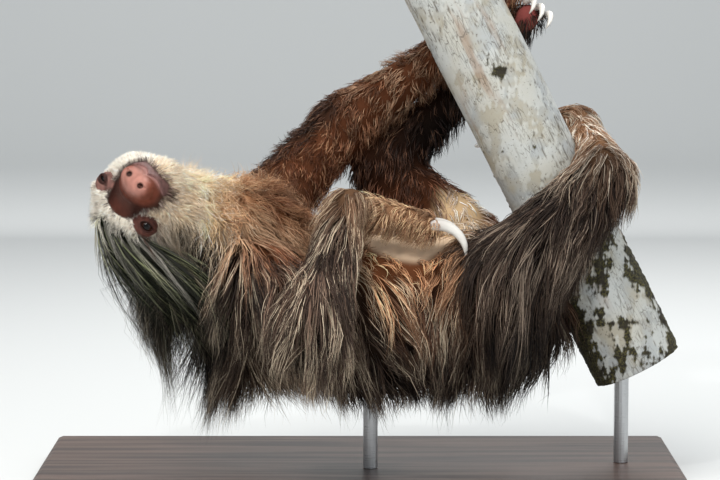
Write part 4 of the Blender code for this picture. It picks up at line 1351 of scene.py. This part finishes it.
def tube_mesh(name, paths, radii, tints, patches):
    """One mesh of three-sided tufts that taper to a point. patches: each tuft's own place in the map."""
    count, points = paths.shape[:2]
    side, other = frames_along(paths, unit(random.normal(size=(count, 3))))
    faces, places = tuft_pattern(points)
    each = (points - 1) * TUFT_SIDES + 1
    vertices = np.empty((count, each, 3))
    for number in range(TUFT_SIDES):
        turn = 2 * math.pi * number / TUFT_SIDES
        offset = (math.cos(turn) * side + math.sin(turn) * other) * radii[..., None]
        vertices[:, number:-1:TUFT_SIDES] = (paths + offset)[:, :-1]
    vertices[:, -1] = paths[:, -1]
    colours = np.concatenate([np.repeat(tints[:, :-1], TUFT_SIDES, axis=1), tints[:, -1:]], axis=1)

    mesh = bpy.data.meshes.new(name)
    mesh.vertices.add(count * each)
    mesh.vertices.foreach_set("co", vertices.ravel())
    pattern = np.array([corner for face in faces for corner in face])
    loops = (pattern + each * np.arange(count)[:, None]).ravel()
    mesh.loops.add(len(loops))
    mesh.loops.foreach_set("vertex_index", loops)
    sizes = np.tile([len(face) for face in faces], count)
    mesh.polygons.add(len(sizes))
    mesh.polygons.foreach_set("loop_start", np.cumsum(sizes) - sizes)
    mesh.polygons.foreach_set("use_smooth", np.ones(len(sizes), bool))
    mesh.uv_layers.new(name="OFBake").data.foreach_set("uv", (places + patches[:, None]).ravel())
    paint_vertices(mesh, "tint", colours.reshape(-1, 3))
    mesh.update(calc_edges=True)
    mesh.validate()
    return mesh


def chart_places(places, regions):
    """Each place on an unwrap of the skin: a cylinder round each bone, the bones side by side in the map."""
    numbers = sorted(set(regions.tolist()))
    result = np.zeros((len(places), 2))
    for column, number in enumerate(numbers):
        here = regions == number
        start, end = ends_of(MAP_REGIONS[number])
        axis = unit(end - start)
        side = unit(np.cross(axis, point(0.3, 0.9, 0.2)))
        away = places[here] - start
        turn = np.arctan2(away @ np.cross(axis, side), away @ side) / (2 * math.pi) + 0.5
        along = away @ axis
        along = (along - along.min()) / max(float(np.ptp(along)), 1e-6)
        result[here, 0] = (column + turn * 0.96 + 0.01) / len(numbers)
        result[here, 1] = along * 0.98 + 0.008
    return result


def make_guides(skin):
    """All guide lines' roots, with everything that is settled there, as arrays of one length."""
    roots, normals = sample_skin(skin.data, tuft_density)
    weights = region_weights(roots)
    head, trunk = part_of(weights, "head"), part_of(weights, "trunk")
    crown = head * crown_share(roots)
    nape = nape_share(roots, weights)
    region = weights.argmax(axis=1)
    region[(region == HEAD_REGION) & (crown_share(roots) > 0.5)] = CROWN_REGION
    length = hair_length(roots, weights) * random.uniform(0.75, 1.15, len(roots))
    directions = start_directions(roots, normals, weights)
    puff = region_value("puff", weights) * random.uniform(0.25, 1.5, len(roots))
    scatter = random.normal(size=roots.shape) * mix(0.0035, 0.0012, head)[:, None]
    thigh = np.maximum(part_of(weights, "thigh_right"), trunk) * smooth(0.13, 0.19, roots[:, 0])
    pull = mix(mix(DOWN[None], CROWN_PULL, crown), THIGH_PULL, thigh)
    lean = 0.22 * trunk * smooth(0.06, 0.0, roots[:, 0]) * (1.0 - nape) - 0.26 * nape
    return dict(
        roots=roots, normals=normals, region=region, length=length, directions=directions, puff=puff,
        crown=crown, nape=nape, tones=tones_at(roots + scatter, weights),
        pull=unit(pull + lean[:, None] * RUMPWARDS),
        density=region_value("density", weights),
        bundle=np.round(region_value("bundle", weights)).astype(int),
        fall=region_value("fall", weights) + 0.16 * crown,
        curl=region_value("curl", weights) + 1.3 * crown,
        clump=region_value("clump", weights) + 0.45 * crown,
        width=(region_value("width", weights) + 0.00008 * crown) * (1.0 + 0.4 * far_side(roots, weights)))


def spread_strands(guides, paths, owner, points):
    """The strands of each guide: they start apart on the skin and run together towards its tip."""
    count = len(owner)
    along = np.linspace(0.0, 1.0, points)
    spread = 0.75 * np.sqrt(guides.bundle / (guides.density * SQUARE_METRE))
    across = np.cross(guides.normals, guides.directions)
    lengthwise = np.cross(across, guides.normals)
    turn = random.uniform(0, 2 * math.pi, count)
    reach = np.sqrt(random.uniform(0, 1, count)) * spread[owner]
    offset = across[owner] * (np.cos(turn) * reach)[:, None]
    offset = offset + lengthwise[owner] * (np.sin(turn) * reach)[:, None]
    strand = resample(paths[owner], along * random.uniform(0.72, 1.0, count)[:, None])
    gather = 1.0 - 0.80 * along ** 1.2 * random.uniform(0.6, 1.1, count)[:, None]
    strand = strand + offset[:, None] * gather[..., None]
    wobble = random.normal(size=(count, 1, 3)) * STRAY + random.normal(size=(count, points, 3)) * JITTER
    phase = random.uniform(size=(count, 1)) + 1.4 * along
    wobble = wobble + random.normal(size=(count, 1, 3)) * (WAVE * np.sin(2 * math.pi * phase))[..., None]
    strand = strand + wobble * along[:, None] ** 1.5 * guides.curl[owner][:, None, None]
    depth = skin_field(strand[:, 0]) + ROOT_DEPTH
    strand[:, 0] -= unit(slope(skin_field, strand[:, 0])) * depth[:, None]
    keep_lines_out(strand, 1, STRAND_CLEARANCE)
    return strand


def strand_tints(guides, strand, owner, kind, shade):
    """Colours along each strand, from its under-fur root to its tip, darker towards the hem, with painted
    shade low on the rump and painted shadow on the mane's lower hair.
    """
    under, dark, middle, pale = np.moveaxis(guides.tones[owner], 1, 0)
    crown = guides.crown[owner]
    is_dark = (kind < DARK_SHARE + 0.25 * crown)[:, None]
    is_pale = (kind > 1.0 - (PALE_SHARE - 0.13 * crown))[:, None]
    body = np.where(is_dark, dark, np.where(is_pale, mix(middle, pale, 0.75), middle))
    tip = np.where(is_pale, pale, mix(middle, pale, 0.28 - 0.20 * crown))
    tip = np.where(is_dark, mix(dark, middle, 0.5), tip)
    base = mix(under, body, 0.25)
    along = np.linspace(0, 1, strand.shape[1])[:, None]
    tint = base[:, None] + (body - base)[:, None] * np.clip(along * 3.0, 0, 1)
    tint = tint + (tip - body)[:, None] * np.clip(along * 1.6 - 0.6, 0, 1)

    x, _, z = np.moveaxis(strand, -1, 0)
    # the strands turn up to a fifth darker towards the hem
    damp = mix(1.0, 0.82, smooth(0.185, 0.100, z))
    # painted shade: hair low on the rump, under the near thigh, is darkened to about a third
    rump = mix(1.0, 0.36, smooth(0.105, 0.150, x) * smooth(0.200, 0.140, z))
    mane = guides.crown + guides.nape * (1.0 - guides.crown) * smooth(-0.125, -0.155, guides.roots[:, 0])
    shadow = mix(1.0, 0.42, mane[owner][:, None] * smooth(0.235, 0.165, z))
    return np.clip(tint * (shade[:, None] * damp * rump * shadow)[..., None], 0.0, 1.0)


def make_coat(skin, material):
    """Grows the coat piece by piece; a piece that would be too large is cut into slices along the body."""
    everything = make_guides(skin)
    for piece, (names, points) in PIECES.items():
        here = np.isin(everything["region"], [MAP_REGIONS.index(name) for name in names])
        guides = SimpleNamespace(**{name: values[here] for name, values in everything.items()})
        paths, lock = gather_locks(grow(guides), guides.clump)
        keep_lines_out(paths, 2, STEM_CLEARANCE)
        lock_kind = KIND_SPREAD * random.normal(size=lock.max() + 1)
        lock_shade = random.uniform(*LOCK_SHADES, lock.max() + 1)
        if piece == "coat_face":
            lock_shade = 0.5 + 0.5 * lock_shade
        owner = np.repeat(np.arange(len(paths)), guides.bundle)
        count = len(owner)
        strand = spread_strands(guides, paths, owner, points)

        along = np.linspace(0, 1, points)
        thick = (0.75 + 0.45 * np.sin(math.pi * np.minimum(along * 1.3, 1.0))) * (1.0 - along ** 3)
        radii = guides.width[owner][:, None] * thick * random.uniform(0.7, 1.3, count)[:, None]
        kind = random.uniform(size=count)
        kind = kind + (KIND_SPREAD * random.normal(size=len(paths)) + lock_kind[lock])[owner]
        shade = (lock_shade[lock] * random.uniform(0.85, 1.15, len(paths)))[owner]
        shade = shade * random.uniform(0.88, 1.14, count)
        tint = strand_tints(guides, strand, owner, kind, shade)
        patches = chart_places(strand[:, 0], guides.region[owner])

        triangles = 2 * TUFT_SIDES * (points - 2) + TUFT_SIDES + 1
        slices = max(1, math.ceil(count * triangles / PIECE_LIMIT))
        order = np.argsort(strand[:, 0, 0], kind="stable")
        for number, chosen in enumerate(np.array_split(order, slices)):
            name = piece if slices == 1 else f"{piece}_{number + 1}"
            mesh = tube_mesh(name, strand[chosen], radii[chosen], tint[chosen], patches[chosen])
            coat = add_object(name, mesh, material)
            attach(coat, "root")


# ---------------------------------------------------------------- all together

FLESH = ["head", "muzzle", "neck", "trunk"]
FLESH += [f"{part}_{side}" for part in ("arm", "forearm", "hand", "thigh", "shank", "foot")
          for side in ("left", "right")]


def skin_material():
    """Leathery skin with fine pores and folds; under the coat it is dull."""
    graph = tinted("skin", 0.5)
    bare, here = graph.attribute("bare", "Fac"), graph.here()
    graph.set(Roughness=graph.ramp(bare, 0.2, 0.9, 0.95, 0.48),
              Specular_IOR_Level=graph.ramp(bare, 0.2, 0.9, 0.0, 0.13))
    graph.bump(graph.math("ADD", graph.edges(here, 900.0), graph.noise(here, 260.0, 4.0, 0.5)), 0.35, 0.0006)
    return graph.material


def claw_material():
    """Horn, finely mottled under a slight gloss."""
    graph = tinted("claw", 0.22, Coat_Weight=0.3, Coat_Roughness=0.15)
    graph.bump(graph.noise(graph.here(), 420.0, 3.0, 0.5), 0.12, 0.0004)
    return graph.material


make_stage()
skin = make_skin()
places = vertex_places(skin.data)
paint_vertices(skin.data, "tint", skin_tint(places))
bare, _, _, eyes = face_masks(places)
bare = np.maximum(np.maximum(bare, eyes) * (in_head(places)[:, 1] > -0.03), belly_share(places) * 0.6)
skin.data.attributes.new("bare", "FLOAT", "POINT").data.foreach_set("value", bare)
skin.data.materials.append(skin_material())
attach(skin, "root")
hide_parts(*FLESH)
make_eyes(tinted("eye", 0.05, Specular_IOR_Level=0.22).material)
make_claws(claw_material())
make_coat(skin, tinted("coat", 0.52, Specular_IOR_Level=0.20).material)
make_stem(bark_material(), sawn_material())
paint_node("stand_base", board_material())
steel = steel_material()
for rod in ("stand_rod_back", "stand_rod_stem"):
    paint_node(rod, steel)
